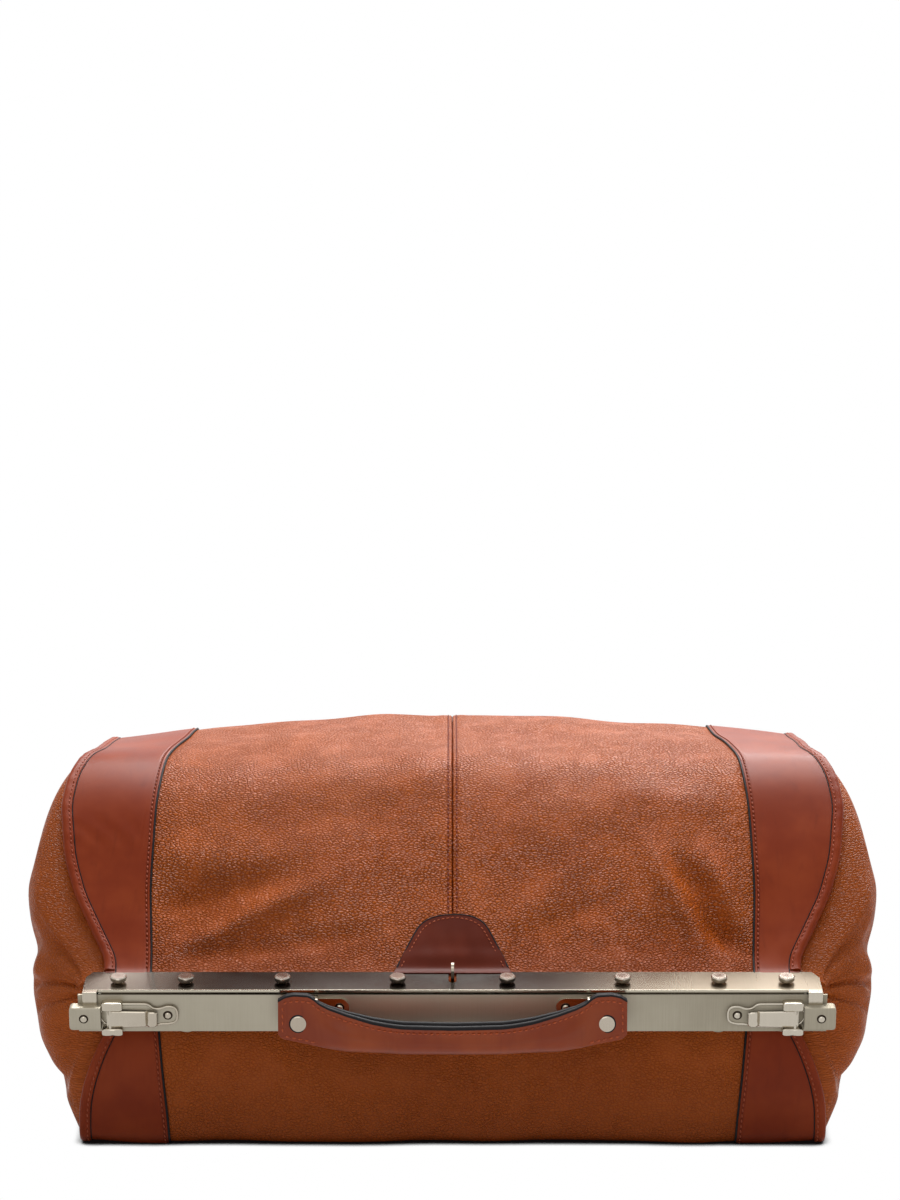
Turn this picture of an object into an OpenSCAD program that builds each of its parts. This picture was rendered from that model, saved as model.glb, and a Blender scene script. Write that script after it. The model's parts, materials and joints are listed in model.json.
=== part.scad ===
// Framed leather travel bag, lying on its rear panel with the mouth towards -Y.
// All sizes are in millimetres. Depth is counted from the face of the frame's top plate.

/* [Body] */
// Gap between the leather's edges and the frame's rear legs
mouth_ease = 2.5; // [1:0.5:20]
// Width over the fold above the hinge
belly_w = 514; // [490:2:540]
// Width at the base
base_w = 482; // [470:2:520]
// Depth from the top plate to the base
bag_depth = 288; // [270:2:320]
// Height of the lying bag over its base, at the middle
base_h = 242; // [225:1:260]
// How far the upper face drops from its middle to its edge
crown = 18; // [8:1:24]
// Depth of the fold where the upper face turns flat
ridge_depth = 155; // [140:1:175]
// Height of that fold
ridge_h = 230; // [215:1:238]
// Reach of the upper face's curve at the frame, as depth and height
slope_lead = [38, 27]; // [5:1:60]
// Reach of that curve before the fold
ridge_lead = [52, 13]; // [2:1:60]
// Reach of the flat stretch after the fold
top_lead = [32, 8]; // [2:1:60]
// Reach of the flat stretch before the base
base_lead = [46, 2]; // [1:1:60]
// Radius of the long base edges
base_r = 16; // [8:1:24]
// How far the rear panel's edges lift from the floor
edge_lift = 3; // [2.5:0.5:6]
// Thickness of the leather
leather_t = 2.4; // [1.5:0.1:3]
// Thickness of the lining
lining_t = 0.8; // [0.5:0.1:1.5]
// Air left between sheets
sheet_gap = 0.3; // [0.2:0.05:0.5]
// Bulge of the gussets at the mouth
bulge_mouth = 17; // [15:1:24]
// Bulge of the gussets at the base
bulge_base = 3; // [1:1:8]
// Extra bulge of the gussets half way along
bulge_belly = 11; // [4:1:18]

/* [Bands and bindings] */
// Distance between the end bands at the mouth
band_gap_mouth = 378; // [350:2:390]
// Distance between the end bands at the upper fold
band_gap_belly = 390; // [360:2:400]
// Distance between the end bands at the base and under the bag
band_gap_base = 368; // [340:2:390]
// Width of the edge binding
binding_w = 6.5; // [5:0.5:9]
// Thickness of the edge binding
binding_t = 1.4; // [1:0.1:2]

/* [Frame] */
// Tilt of the closed frame, its hinge end up
tilt = 12.7; // [5:0.1:16]
// Height of the frame's middle above the floor
mouth_h = 90; // [84:1:105]
// How far the top plate reaches past the inner face of each rear leg
plate_over = 11.5; // [6:0.5:16]
// Width of the top plate
plate_w = 24.6; // [22:0.2:26]
// Thickness of the frame's steel
steel_t = 1.5; // [1.2:0.1:2]
// How far the flanges reach past the inner face of each rear leg
flange_over = 8.5; // [6:0.5:11]
// Depth of both flanges
flange_d = 28; // [26:0.5:32]
// Chamfer of the flange ends
flange_cut = 4; // [2:0.5:8]
// Gap between the plate's edge and the front flange
mouth_gap = 1.3; // [1:0.1:2]
// Distance from the top plate to the hinge pins
hinge_depth = 110; // [100:1:120]
// Radius of the hinge pins
hinge_pin_r = 2.5; // [2:0.1:3]
// Radius of the eyes at the ends of the legs
leg_eye_r = 7; // [6:0.5:8]
// Width of the legs
leg_w = 11; // [9:0.5:12]
// Distance between the inner faces of the rear legs
leg_span = 441; // [430:1:450]
// Running clearance of pins in their holes
pin_fit = 0.06; // [0.03:0.01:0.1]
// Thickness of the inner clamping strips
strip_t = 1.2; // [1:0.1:1.5]
// Distance from the plate to the edge of the clamped leather
clamp_d = 16.8; // [16.6:0.1:18]

/* [Studs] */
// Distances of the studs from the middle
stud_x = [34.1, 105.8, 165.8, 207.8]; // [30:0.1:212]
// Depth of the stud row
stud_d = 12.6; // [12:0.1:12.8]
// Diameter of the stud heads
stud_head = 10; // [8:0.5:11]
// Diameter of the stud necks
stud_neck = 4.4; // [4:0.2:5]
// Height of the stud neck above the flange
stud_lift = 2.4; // [1.5:0.1:3]
// Thickness of the stud head
stud_cap = 2.2; // [1.5:0.1:3]

/* [Padlock staple] */
// Width of the staple
staple_w = 8; // [7.4:0.1:8.4]
// Thickness of the staple
staple_t = 2; // [1.6:0.1:2.6]
// Depth of the staple's middle
staple_d = 19.6; // [19.4:0.1:20]
// Height of the staple above the flange
staple_rise = 10; // [9.5:0.5:13]
// Radius of the padlock eye
eye_r = 2.2; // [1.8:0.1:2.4]
// Length of the slot in the front flange
slot_l = 15; // [14.6:0.1:15.6]
// Width of that slot
slot_w = 5; // [4.6:0.1:6]
// Width of the leather tab at the flange
tab_w = 72; // [60:1:84]
// Width of the tab at its far end
tab_tip = 35; // [24:1:40]
// How far the tab reaches up the front panel, in sixths of its slope
tab_rows = 1.9; // [1.5:0.1:2.5]
// Thickness of the tab
tab_t = 2; // [1.5:0.1:3]

/* [Catches] */
// How far each catch reaches past the end of the top plate
catch_over = 5; // [2:0.5:8]
// Length of the catch's raised block
catch_block = 19.5; // [19:0.5:20.5]
// Overall length of the catch
catch_l = 68; // [66:1:72]
// Height of the catch
catch_h = 15; // [14:0.5:16]
// How far the block stands out from the plate
catch_d = 7; // [6.5:0.1:8]
// Length of the lever
lever_l = 34; // [30:0.5:36]
// Radius of the lever's pin
lever_pin_r = 1.2; // [1:0.1:1.4]
// Width of the front jaw's locking tongues
tongue_w = 9; // [7:0.5:9]

/* [Handle] */
// Length of the handle
handle_l = 215; // [205:1:225]
// Height of the handle's grip
grip_h = 18; // [16:0.5:22]
// Thickness of the handle's grip
grip_t = 15; // [12:0.5:17]
// Distance from the handle's axis to its grip
grip_drop = 14; // [12:0.5:18]
// How far the grip bows away from the plate
grip_bow = 6; // [3:0.5:8]
// Thickness of the flat handle ends
end_t = 6.8; // [6.6:0.1:8]
// Height of the flat handle ends below the axis
end_h = 26; // [24:0.5:30]
// Distance from the middle to each handle loop's centre
loop_x = 95; // [93:0.5:97]
// Length of each loop's bar
loop_l = 15; // [14:0.5:16]
// Radius of the loop's bar
loop_r = 2.2; // [1.8:0.1:2.4]
// How far the loop's bar stands out from the plate
loop_d = 8.5; // [8:0.5:11]
// Place of the loop's bar across the plate
loop_v = 11; // [9:0.5:11.5]
// Diameter of the rivets in the handle ends
handle_rivet = 9.6; // [8:0.2:11]

/* [Base] */
// Height of the feet
foot_h = 4.5; // [3:0.5:7]
// Radius of the feet
foot_r = 8; // [6:0.5:10]
// Thickness of the board inside the base
board_t = 3; // [2:0.5:4]

/* [Hidden] */
$fn = 48;

// Colours as they show in the photograph
pebbled = [0.62, 0.30, 0.15];
smooth_hide = [0.45, 0.18, 0.12];
cloth = [0.25, 0.18, 0.13];
nickel = [0.66, 0.64, 0.58];
board = [0.35, 0.30, 0.25];

// Places that follow from the sizes above
mouth_w = leg_span - 2 * mouth_ease;
plate_l = leg_span + 2 * plate_over;
flange_l = leg_span + 2 * flange_over;
catch_end = plate_l / 2 + catch_over;
front_reach = loop_d + grip_bow + grip_t / 2 + 2.5;
mouth_y = -(bag_depth + foot_h - front_reach) / 2;
flange_under = plate_w / 2 + mouth_gap;
flange_top = flange_under + steel_t;
rear_under = -plate_w / 2;
hide_front = flange_under - 0.15;
hide_rear = rear_under + steel_t + 0.15;
lip_d = steel_t + 0.5;
front_clear = 1;
rear_clear = 3;
fold_gap = 0.1;
leg_gap = steel_t + 0.4;
leg_rear_x = leg_span / 2;
leg_front_x = leg_rear_x + steel_t + leg_gap;
floor_r = 10;
wall_depth = 26;
wall_swell = 4;
wall_low = 26;
wall_high = 24;
ridge_crown = 0.1;
rear_flare = 16.5;
flange_from = 1;
tongue_d = 2.6;
tongue_low = 3;
tongue_t = 1.2;

// A point of the tilted frame, as depth from the plate and height above the floor
function framed(d, v) = [d * cos(tilt) - v * sin(tilt), mouth_h + d * sin(tilt) + v * cos(tilt)];
function mix(a, b, t) = a + (b - a) * t;
function ease(t) = t <= 0 ? 0 : t >= 1 ? 1 : t * t * (3 - 2 * t);
function curve(p, t) = pow(1 - t, 3) * p[0] + 3 * pow(1 - t, 2) * t * p[1]
    + 3 * (1 - t) * t * t * p[2] + pow(t, 3) * p[3];
function round_corner(c, r, from, to, t) = c + r * [cos(mix(from, to, t)), sin(mix(from, to, t))];

// The bag's outline from the front flange over the top, down the base, back along the floor
// and up to the rear flange. A row is depth, height, half width, crown, edge lift and the
// half distance between the end bands.
front_start = framed(flange_d + front_clear, hide_front);
rear_start = framed(flange_d + rear_clear, hide_rear);
ridge = [ridge_depth, ridge_h];
base_edge = [bag_depth - base_r, base_h];
slope = [front_start, front_start + slope_lead, ridge - ridge_lead, ridge];
top = [ridge, ridge + top_lead, base_edge - base_lead, base_edge];
wall = [[wall_depth, floor_r], [wall_depth - wall_swell, floor_r + wall_low],
    [wall_depth - 1.5 * wall_swell, rear_start[1] - wall_high], rear_start];
rear_belly = belly_w / 2 - 7;
rear_floor = mouth_w / 2 + rear_flare;
steps = 6;
rows = concat(
    [concat(framed(clamp_d, hide_front), [mouth_w / 2, 0, 0, band_gap_mouth / 2]),
     concat(front_start, [mouth_w / 2, 0, 0, band_gap_mouth / 2])],
    [for (i = [1:steps]) let (t = i / steps) concat(curve(slope, t),
        [mix(mouth_w, belly_w, sin(90 * t)) / 2, crown * ridge_crown * t, 0,
         mix(band_gap_mouth, band_gap_belly, sin(90 * t)) / 2])],
    [for (i = [1:steps]) let (t = i / steps) concat(curve(top, t),
        [mix(belly_w, base_w, t) / 2, crown * mix(ridge_crown, 1, t), 0,
         mix(band_gap_belly, band_gap_base, t) / 2])],
    [for (i = [1:3]) concat(
        round_corner([bag_depth - base_r, base_h - base_r], base_r, 90, 0, i / 3),
        [base_w / 2, crown, 0, band_gap_base / 2])],
    [for (i = [1:3]) [bag_depth, mix(base_h - base_r, base_r, i / 3), base_w / 2,
        crown * (1 - i / 3), 0, band_gap_base / 2]],
    [for (i = [1:3]) concat(
        round_corner([bag_depth - base_r, base_r], base_r, 0, -90, i / 3),
        [base_w / 2, 0, edge_lift * i / 3, band_gap_base / 2])],
    [for (i = [1:5]) let (t = i / 5) [mix(bag_depth - base_r, wall_depth + floor_r, t), 0,
        t < 0.5 ? mix(base_w / 2, rear_belly, sin(180 * t)) : mix(rear_floor, rear_belly, sin(180 * t)),
        0, edge_lift, band_gap_base / 2]],
    [for (i = [1:3]) concat(
        round_corner([wall_depth + floor_r, floor_r], floor_r, -90, -180, i / 3),
        [rear_floor, 0, edge_lift * (1 - i / 3), band_gap_base / 2])],
    [for (i = [1:4]) let (t = i / 4) concat(curve(wall, t),
        [mix(rear_floor, mouth_w / 2, t), 0, 0, band_gap_base / 2])],
    [concat(framed(clamp_d, hide_rear), [mouth_w / 2, 0, 0, band_gap_base / 2])]
);
last_row = len(rows) - 1;
fold_row = 6;
top_row = 2 * steps + 1;
base_row = top_row + 3;
low_row = base_row + 3;
floor_row = low_row + 3;
gusset_last = base_row - 1;

// Inward direction of the outline at a row
function heading(i) = let (a = rows[max(i - 1, 0)], b = rows[min(i + 1, last_row)],
    d = [b[0] - a[0], b[1] - a[1]]) d / norm(d);
function inward(i) = let (h = heading(i)) [h[1], -h[0]];

// A point on row i, at x across the bag and a distance under the outer face
function skin(i, x, under) = let (r = rows[i], n = inward(i), v = x / r[2])
    [x, mouth_y + r[0] + n[0] * under,
     r[1] + n[1] * under - r[3] * v * v + r[4] * ease((abs(v) - 0.82) / 0.18)];

// The leather that folds starts just short of the leather that stays put
module folding() translate([0, -fold_gap, 0]) children();

// Closed sheet between two grids of points
module sheet(outer, inner) {
    r = len(outer);
    c = len(outer[0]);
    n = r * c;
    quads = concat(
        [for (i = [0:r - 2], j = [0:c - 2]) [i * c + j, i * c + j + 1, i * c + c + j + 1, i * c + c + j]],
        [for (i = [0:r - 2], j = [0:c - 2]) [n + i * c + j, n + i * c + c + j, n + i * c + c + j + 1,
            n + i * c + j + 1]],
        [for (j = [0:c - 2]) [j, n + j, n + j + 1, j + 1]],
        [for (j = [0:c - 2], s = (r - 1) * c) [s + j + 1, n + s + j + 1, n + s + j, s + j]],
        [for (i = [0:r - 2]) [i * c, i * c + c, n + i * c + c, n + i * c]],
        [for (i = [0:r - 2], s = c - 1) [i * c + s, n + i * c + s, n + i * c + c + s, i * c + c + s]]
    );
    polyhedron([for (g = [outer, inner], row = g, p = row) p],
        [for (q = quads) each [[q[0], q[1], q[2]], [q[0], q[2], q[3]]]]);
}

// Part of the outline's skin between two rows, from one x to another given for each row
module skin_sheet(from, to, x0, x1, cols, over, under) {
    grid = function(depth) [for (i = [from:to]) [for (j = [0:cols])
        skin(i, mix(x0(i), x1(i), j / cols), depth)]];
    sheet(grid(over), grid(under));
}

// The same for the right-hand side, or mirrored to the left
module on_side(side) {
    if (side > 0) children();
    else mirror([1, 0, 0]) children();
}

module half_panel(side, from, to) {
    color(pebbled) on_side(side) skin_sheet(from, to, function(i) sheet_gap / 2,
        function(i) rows[i][5] - sheet_gap, 5, 0, leather_t);
}

// The clamped end of the front leather has half of the staple's slot on each side of the seam
module front_fold(side) {
    folding() difference() {
        half_panel(side, 0, fold_row);
        in_frame() staple_slot(front_strip_v, flange_top);
    }
}

module full_panel(from, to, cols) {
    color(pebbled) skin_sheet(from, to, function(i) sheet_gap - rows[i][5],
        function(i) rows[i][5] - sheet_gap, cols, 0, leather_t);
}

module rear_panel() {
    difference() {
        full_panel(floor_row, last_row, 8);
        in_frame() staple_slot(rear_under, rear_strip_v + strip_t);
    }
}

module band(side, from, to) {
    color(smooth_hide) on_side(side) skin_sheet(from, to, function(i) rows[i][5],
        function(i) rows[i][2], 4, 0, leather_t);
}

module binding(side, from, to) {
    color(smooth_hide) on_side(side) skin_sheet(from, to, function(i) rows[i][2] - binding_w,
        function(i) rows[i][2], 1, -binding_t - sheet_gap, -sheet_gap);
}

// A point of the gusset: j counts from the mouth to the base, t from the front to the rear
function gusset(j, t, under) = let (s = j / gusset_last, f = 1 + j, r = last_row - 1 - j,
    p = skin(f, rows[f][2], leather_t + sheet_gap), q = skin(r, rows[r][2], leather_t + sheet_gap),
    b = mix(bulge_mouth, bulge_base, s) + bulge_belly * sin(180 * s))
    mix(p, q, t) + [b * 4 * t * (1 - t) - under, 0, 0];

module gusset_sheet(from, to, t0, t1, cols, over, under) {
    grid = function(depth) [for (j = [from:to]) [for (k = [0:cols])
        gusset(j, mix(t0, t1, k / cols), depth)]];
    sheet(grid(over), grid(under));
}

module gusset_side(side) {
    color(pebbled) on_side(side) {
        gusset_sheet(0, gusset_last, 0.5, 1, 4, 0, leather_t);
        gusset_sheet(fold_row - 1, gusset_last, 0, 0.5, 4, 0, leather_t);
    }
}

module gusset_fold(side) {
    along = heading(fold_row) * sheet_gap;
    color(pebbled) on_side(side) translate([0, -along[0], -along[1]])
        gusset_sheet(0, fold_row - 1, 0, 0.48, 4, 0, leather_t);
}

// Pleat between the two legs, folded inwards behind the frame's end
pleat_deep = 26;
module gusset_pleat(side) {
    edge = leg_rear_x - sheet_gap;
    from = flange_d - 2;
    to = hinge_depth - 2 * leg_eye_r;
    color(pebbled) on_side(side) in_frame() translate([0, 0, -leather_t / 2]) linear_extrude(leather_t)
        polygon([[edge, from], [edge - pleat_deep, from + 14], [edge - 4, to], [edge, to]]);
}

module lining_wrap(from, to) {
    inset = leather_t + sheet_gap;
    color(cloth) skin_sheet(from, to, function(i) 8 - rows[i][2], function(i) rows[i][2] - 8, 8,
        inset, inset + lining_t);
}

module in_frame() {
    translate([0, mouth_y, mouth_h]) rotate([tilt, 0, 0]) children();
}

// Turns an outline drawn as depth and height into a plate across the bag
module across(x, t) {
    translate([x, 0, 0]) rotate([90, 0, 90]) linear_extrude(t) children();
}

// Padlock tab on the front panel, behind the flange. Its outline is a share of its length.
tab_steps = 9;
function tab_half(q) = let (round_end = max(0, q - 0.75) / 0.25)
    mix(tab_w, tab_tip, q) / 2 - tab_tip / 4 * (1 - sqrt(1 - pow(round_end, 2)));
function skin_between(i, x, under) = let (low = floor(i))
    mix(skin(low, x, under), skin(low + 1, x, under), i - low);
module padlock_tab() {
    grid = function(depth) [for (k = [0:tab_steps]) let (q = k / tab_steps)
        [for (j = [0:6]) skin_between(1 + tab_rows * q, tab_half(q) * (j / 3 - 1), depth)]];
    color(smooth_hide) sheet(grid(-tab_t - sheet_gap), grid(-sheet_gap));
}

// Slot for the staple, from one height to another in the frame's own directions
module staple_slot(low, high) {
    r = slot_w / 2;
    translate([0, 0, low]) linear_extrude(high - low) for (s = [-1, 1])
        translate([0, staple_d + s * (slot_l / 2 - r)]) circle(r);
    translate([-r, staple_d - slot_l / 2 + r, low]) cube([slot_w, slot_l - slot_w, high - low]);
}

// Flange outline with cut corners, drawn as x and depth
module flange_outline(l, from) {
    polygon([[-l / 2, from], [l / 2, from], [l / 2, flange_d - 2 * flange_cut],
        [l / 2 - flange_cut, flange_d], [flange_cut - l / 2, flange_d], [-l / 2, flange_d - 2 * flange_cut]]);
}

// Leg from the jaw's end to the hinge, drawn as depth and height, up for the front jaw
module leg_outline(edge) {
    difference() {
        union() {
            polygon([[4, edge], [flange_d - flange_cut, edge], [flange_d, leg_w / 2],
                [hinge_depth, leg_w / 2], [hinge_depth, -leg_w / 2], [flange_d, -leg_w / 4], [4, 0]]);
            translate([hinge_depth, 0]) circle(leg_eye_r);
        }
        translate([hinge_depth, 0]) circle(hinge_pin_r + pin_fit);
    }
}

// Holes for the studs' shanks, through a sheet that starts at the given height
module stud_holes(low) {
    for (x = stud_x, side = [-1, 1]) translate([side * x, stud_d, low - 1])
        cylinder(r = stud_neck / 2 + 0.05, h = steel_t + 2);
}

module rear_jaw() {
    color(nickel) in_frame() {
        translate([-plate_l / 2, 0, -plate_w / 2]) cube([plate_l, steel_t, plate_w]);
        difference() {
            translate([0, 0, rear_under]) linear_extrude(steel_t) flange_outline(flange_l, 0.2);
            stud_holes(rear_under);
        }
        for (side = [-1, 1]) across(side > 0 ? leg_rear_x : -leg_rear_x - steel_t, steel_t) {
            mirror([0, 1]) leg_outline(-rear_under);
            translate([1, rear_under]) square([4, 10]);
        }
    }
}

module front_jaw() {
    color(nickel) in_frame() {
        difference() {
            union() {
                translate([0, 0, flange_under]) linear_extrude(steel_t) flange_outline(flange_l, flange_from);
                translate([-leg_span / 2 + 3, lip_d, -6]) cube([leg_span - 6, steel_t, flange_under + 6.5]);
            }
            staple_slot(flange_under - 1, flange_top + 1);
            stud_holes(flange_under);
        }
        for (side = [-1, 1])
            across(side > 0 ? leg_front_x : -leg_front_x - steel_t, steel_t) leg_outline(flange_under + 0.5);
    }
}

// Bent tongues on the front flange's edge, which enter the pockets of the catches
module catch_tongues() {
    color(nickel) in_frame() for (side = [-1, 1]) on_side(side)
        translate([flange_l / 2 - tongue_w, -tongue_d, 0]) {
            translate([0, 0, flange_under]) cube([tongue_w, tongue_d + flange_from, steel_t]);
            translate([0, 0, tongue_low]) cube([tongue_w, tongue_t, flange_under - tongue_low + 0.5]);
        }
}

// Inner strip that clamps the leather, at a height in the frame
module strip(v) {
    difference() {
        translate([-mouth_w / 2 + 2, lip_d + steel_t + 1, v])
            cube([mouth_w - 4, flange_d - lip_d - steel_t - 1, strip_t]);
        stud_holes(v);
        staple_slot(v - 1, v + strip_t + 1);
    }
}

front_strip_v = hide_front - leather_t - 0.2 - strip_t;
rear_strip_v = hide_rear + leather_t + 0.2;
module front_strip() { color(nickel) in_frame() strip(front_strip_v); }
module rear_strip() { color(nickel) in_frame() strip(rear_strip_v); }

// Stud with a bevelled head, its shank through the flange and the strip
module stud(through) {
    rotate_extrude() polygon([[0, -through], [stud_neck / 2 + 1, -through], [stud_neck / 2 + 1, 0.8 - through],
        [stud_neck / 2, 0.8 - through], [stud_neck / 2, stud_lift], [stud_head / 2 - 1, stud_lift],
        [stud_head / 2, stud_lift + 0.7], [stud_head / 2, stud_lift + stud_cap - 0.5],
        [stud_head / 2 - 0.5, stud_lift + stud_cap], [0, stud_lift + stud_cap]]);
}

stud_grip = flange_top - front_strip_v + 0.9;
module front_studs() {
    color(nickel) in_frame() for (x = stud_x, side = [-1, 1])
        translate([side * x, stud_d, flange_top]) stud(stud_grip);
}

module rear_studs() {
    color(nickel) in_frame() for (x = stud_x, side = [-1, 1])
        translate([side * x, stud_d, rear_under]) mirror([0, 0, 1])
            stud(rear_strip_v + strip_t - rear_under + 0.9);
}

module hinge_pins() {
    inner = leg_rear_x - 2;
    outer = leg_front_x + steel_t + 0.3;
    color(nickel) in_frame() for (side = [-1, 1]) on_side(side)
        translate([inner, hinge_depth, 0]) rotate([0, 90, 0]) {
            translate([0, 0, 0.2]) cylinder(r = hinge_pin_r + 2, h = 1.6);
            cylinder(r = hinge_pin_r, h = outer - inner + 1);
            translate([0, 0, outer - inner]) cylinder(r = hinge_pin_r + 2, h = 1.6);
        }
}

module hinge_washers() {
    color(nickel) in_frame() for (side = [-1, 1]) on_side(side)
        translate([leg_rear_x + steel_t + 0.2, hinge_depth, 0]) rotate([0, 90, 0]) difference() {
            cylinder(r = hinge_pin_r + 3, h = leg_gap - 0.4);
            translate([0, 0, -1]) cylinder(r = hinge_pin_r + pin_fit, h = leg_gap + 2);
        }
}

// Flat loop that stands on the rear flange and passes through the front one
module padlock_staple() {
    foot = rear_under + steel_t;
    eye_v = flange_top + staple_rise - staple_w / 2;
    color(nickel) in_frame() across(-staple_t / 2, staple_t) difference() {
        union() {
            translate([staple_d - staple_w / 2, foot]) square([staple_w, eye_v - foot]);
            translate([staple_d, eye_v]) circle(staple_w / 2);
        }
        translate([staple_d, eye_v]) circle(eye_r);
    }
}

// The catches are drawn for the right-hand end, with x counted from the bag's middle
base_t = 1.6;
lever_t = 1.3;
lever_heel = 2.2;
lever_stand = 4.2;
ear_r = 3.4;
ear_gap = 0.3;
rivet_r = 1.5;
block_in = catch_end - catch_block;
lever_x = block_in - 5.4;
lever_d = -catch_d + 2.6;
catch_v = -1;
catch_low = catch_v - catch_h / 2;
catch_high = catch_v + catch_h / 2;
catch_in = catch_end - catch_l;
catch_tip_r = 6;
catch_rivet_x = catch_end - 9;
module catch_base(side) {
    step_x = catch_in + 14;
    color(nickel) in_frame() on_side(side) difference() {
        union() {
            translate([block_in, -catch_d, catch_low]) cube([catch_block, catch_d, catch_h]);
            translate([step_x, -base_t, catch_low]) cube([block_in - step_x + 1, base_t, catch_h]);
            translate([catch_in + catch_tip_r, 0, catch_v]) rotate([90, 0, 0])
                cylinder(r = catch_tip_r, h = base_t);
            translate([catch_in + catch_tip_r, -base_t, catch_v - catch_tip_r])
                cube([step_x - catch_in - catch_tip_r + 1, base_t, 2 * catch_tip_r]);
            translate([lever_x, lever_d, catch_low]) cylinder(r = lever_pin_r + 1.1, h = catch_h);
            translate([lever_x - 1.5, lever_d, catch_low]) cube([3, -lever_d, catch_h]);
        }
        // Pocket that takes the front jaw's tongue
        translate([flange_l / 2 - tongue_w - 0.8, -tongue_d - 0.8, tongue_low - 1.4])
            cube([tongue_w + 1.6, tongue_d + 1.4, catch_h]);
        translate([lever_x, lever_d, catch_low - 1]) cylinder(r = lever_pin_r + pin_fit, h = catch_h + 2);
        for (x = [catch_rivet_x, catch_in + catch_tip_r]) translate([x, 1, catch_v]) rotate([90, 0, 0])
            cylinder(r = rivet_r, h = catch_d + 2);
    }
}

// Domed rivet head on a shank, set on a face that lies at the given distance from the plate
module dome_rivet(face) {
    rotate([90, 0, 0]) rotate_extrude() polygon([[0, 0.1], [rivet_r - 0.1, 0.1], [rivet_r - 0.1, face + 0.1],
        [rivet_r + 1.3, face + 0.1], [rivet_r + 1.2, face + 0.9], [rivet_r + 0.4, face + 1.7],
        [rivet_r - 0.6, face + 2.1], [0, face + 2.2]]);
}

module catch_rivets() {
    color(nickel) in_frame() for (side = [-1, 1]) on_side(side) {
        translate([catch_rivet_x, 0, catch_v]) dome_rivet(catch_d);
        translate([catch_in + catch_tip_r, 0, catch_v]) dome_rivet(base_t);
    }
}

// Lever with an ear above and below the base, and a raised lip for the finger
module catch_lever(side) {
    reach = lever_x + lever_heel - lever_l;
    face = lever_d - lever_stand;
    half = catch_h / 2 - 2;
    low = catch_low - ear_gap - lever_t;
    high = catch_high + ear_gap;
    ear_l = 7;
    color(nickel) in_frame() on_side(side) difference() {
        union() {
            translate([reach, face, catch_v - half]) cube([lever_l, lever_t, 2 * half]);
            translate([reach, face - 1.4, catch_v - half + 1]) cube([ear_l, 1.6, 2 * half - 2]);
            for (v = [low, high]) {
                translate([lever_x - ear_l, face, v]) cube([ear_l + lever_heel, lever_stand, lever_t]);
                translate([lever_x, lever_d, v]) cylinder(r = ear_r, h = lever_t);
            }
            translate([lever_x - ear_l, face, low]) cube([ear_l + lever_heel, lever_t, high + lever_t - low]);
        }
        translate([lever_x, lever_d, low - 1])
            cylinder(r = lever_pin_r + pin_fit, h = high - low + lever_t + 2);
    }
}

module catch_pin(side) {
    half = catch_h / 2 + ear_gap + lever_t;
    color(nickel) in_frame() on_side(side) translate([lever_x, lever_d, catch_v]) {
        translate([0, 0, -half - 0.3]) cylinder(r = lever_pin_r, h = 2 * half + 0.6);
        for (v = [-half - 0.9, half + 0.1]) translate([0, 0, v]) cylinder(r = lever_pin_r + 0.8, h = 0.8);
    }
}

// Leaf spring on the base, under the lever
module catch_spring(side) {
    from = catch_in + 15;
    to = lever_x - ear_r;
    color(nickel) in_frame() on_side(side) translate([0, 0, catch_v - 3]) linear_extrude(6)
        polygon([[from, -base_t - 0.1], [to, lever_d + 1], [to, lever_d + 0.6],
            [mix(from, to, 0.5), lever_d + 1], [from, -base_t - 0.6]]);
}

// The handle hangs from the bars of its two saddles, so it is drawn around their axis
handle_axis = framed(-loop_d, loop_v);
handle_rivet_v = -12;
module at_axis() { translate([0, mouth_y + handle_axis[0], handle_axis[1]]) children(); }

// The grip's shoulders pass under the ends of the loops
shoulder = loop_r + 1.1;
function grip_share(x) = ease(1 - pow(abs(x) / (loop_x - loop_l / 2 - 1.5), 2));
// Section of the grip at x: half thickness from the stitched edge down to the round underside.
// It ends just inside the flat ends.
function grip_ring(x, cut) = let (k = grip_share(x), top = mix(-shoulder, -grip_drop, k) - cut,
    low = mix(0.3 - end_h, -grip_drop - grip_h, k) + cut, neck = end_t / 2 - 0.3,
    half = mix(neck, grip_t / 2, sqrt(k)) - cut, y = -grip_bow * k)
    [[x, y - min(half, neck - cut), top], [x, y - half * 0.85, mix(top, low, 0.3)],
     [x, y - half, mix(top, low, 0.58)], [x, y - half * 0.8, mix(top, low, 0.84)],
     [x, y - half * 0.35, low], [x, y + half * 0.35, low], [x, y + half * 0.8, mix(top, low, 0.84)],
     [x, y + half, mix(top, low, 0.58)], [x, y + half * 0.85, mix(top, low, 0.3)],
     [x, y + min(half, neck - cut), top]];

// Closed body through a list of rings with the same number of points
module loft(rings) {
    n = len(rings[0]);
    m = len(rings);
    polyhedron([for (r = rings, p = r) p], concat(
        [for (i = [0:m - 2], j = [0:n - 1]) each let (k = (j + 1) % n)
            [[i * n + j, i * n + n + j, i * n + n + k], [i * n + j, i * n + n + k, i * n + k]]],
        [[for (j = [0:n - 1]) j]], [[for (j = [n - 1:-1:0]) (m - 1) * n + j]]));
}

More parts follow.
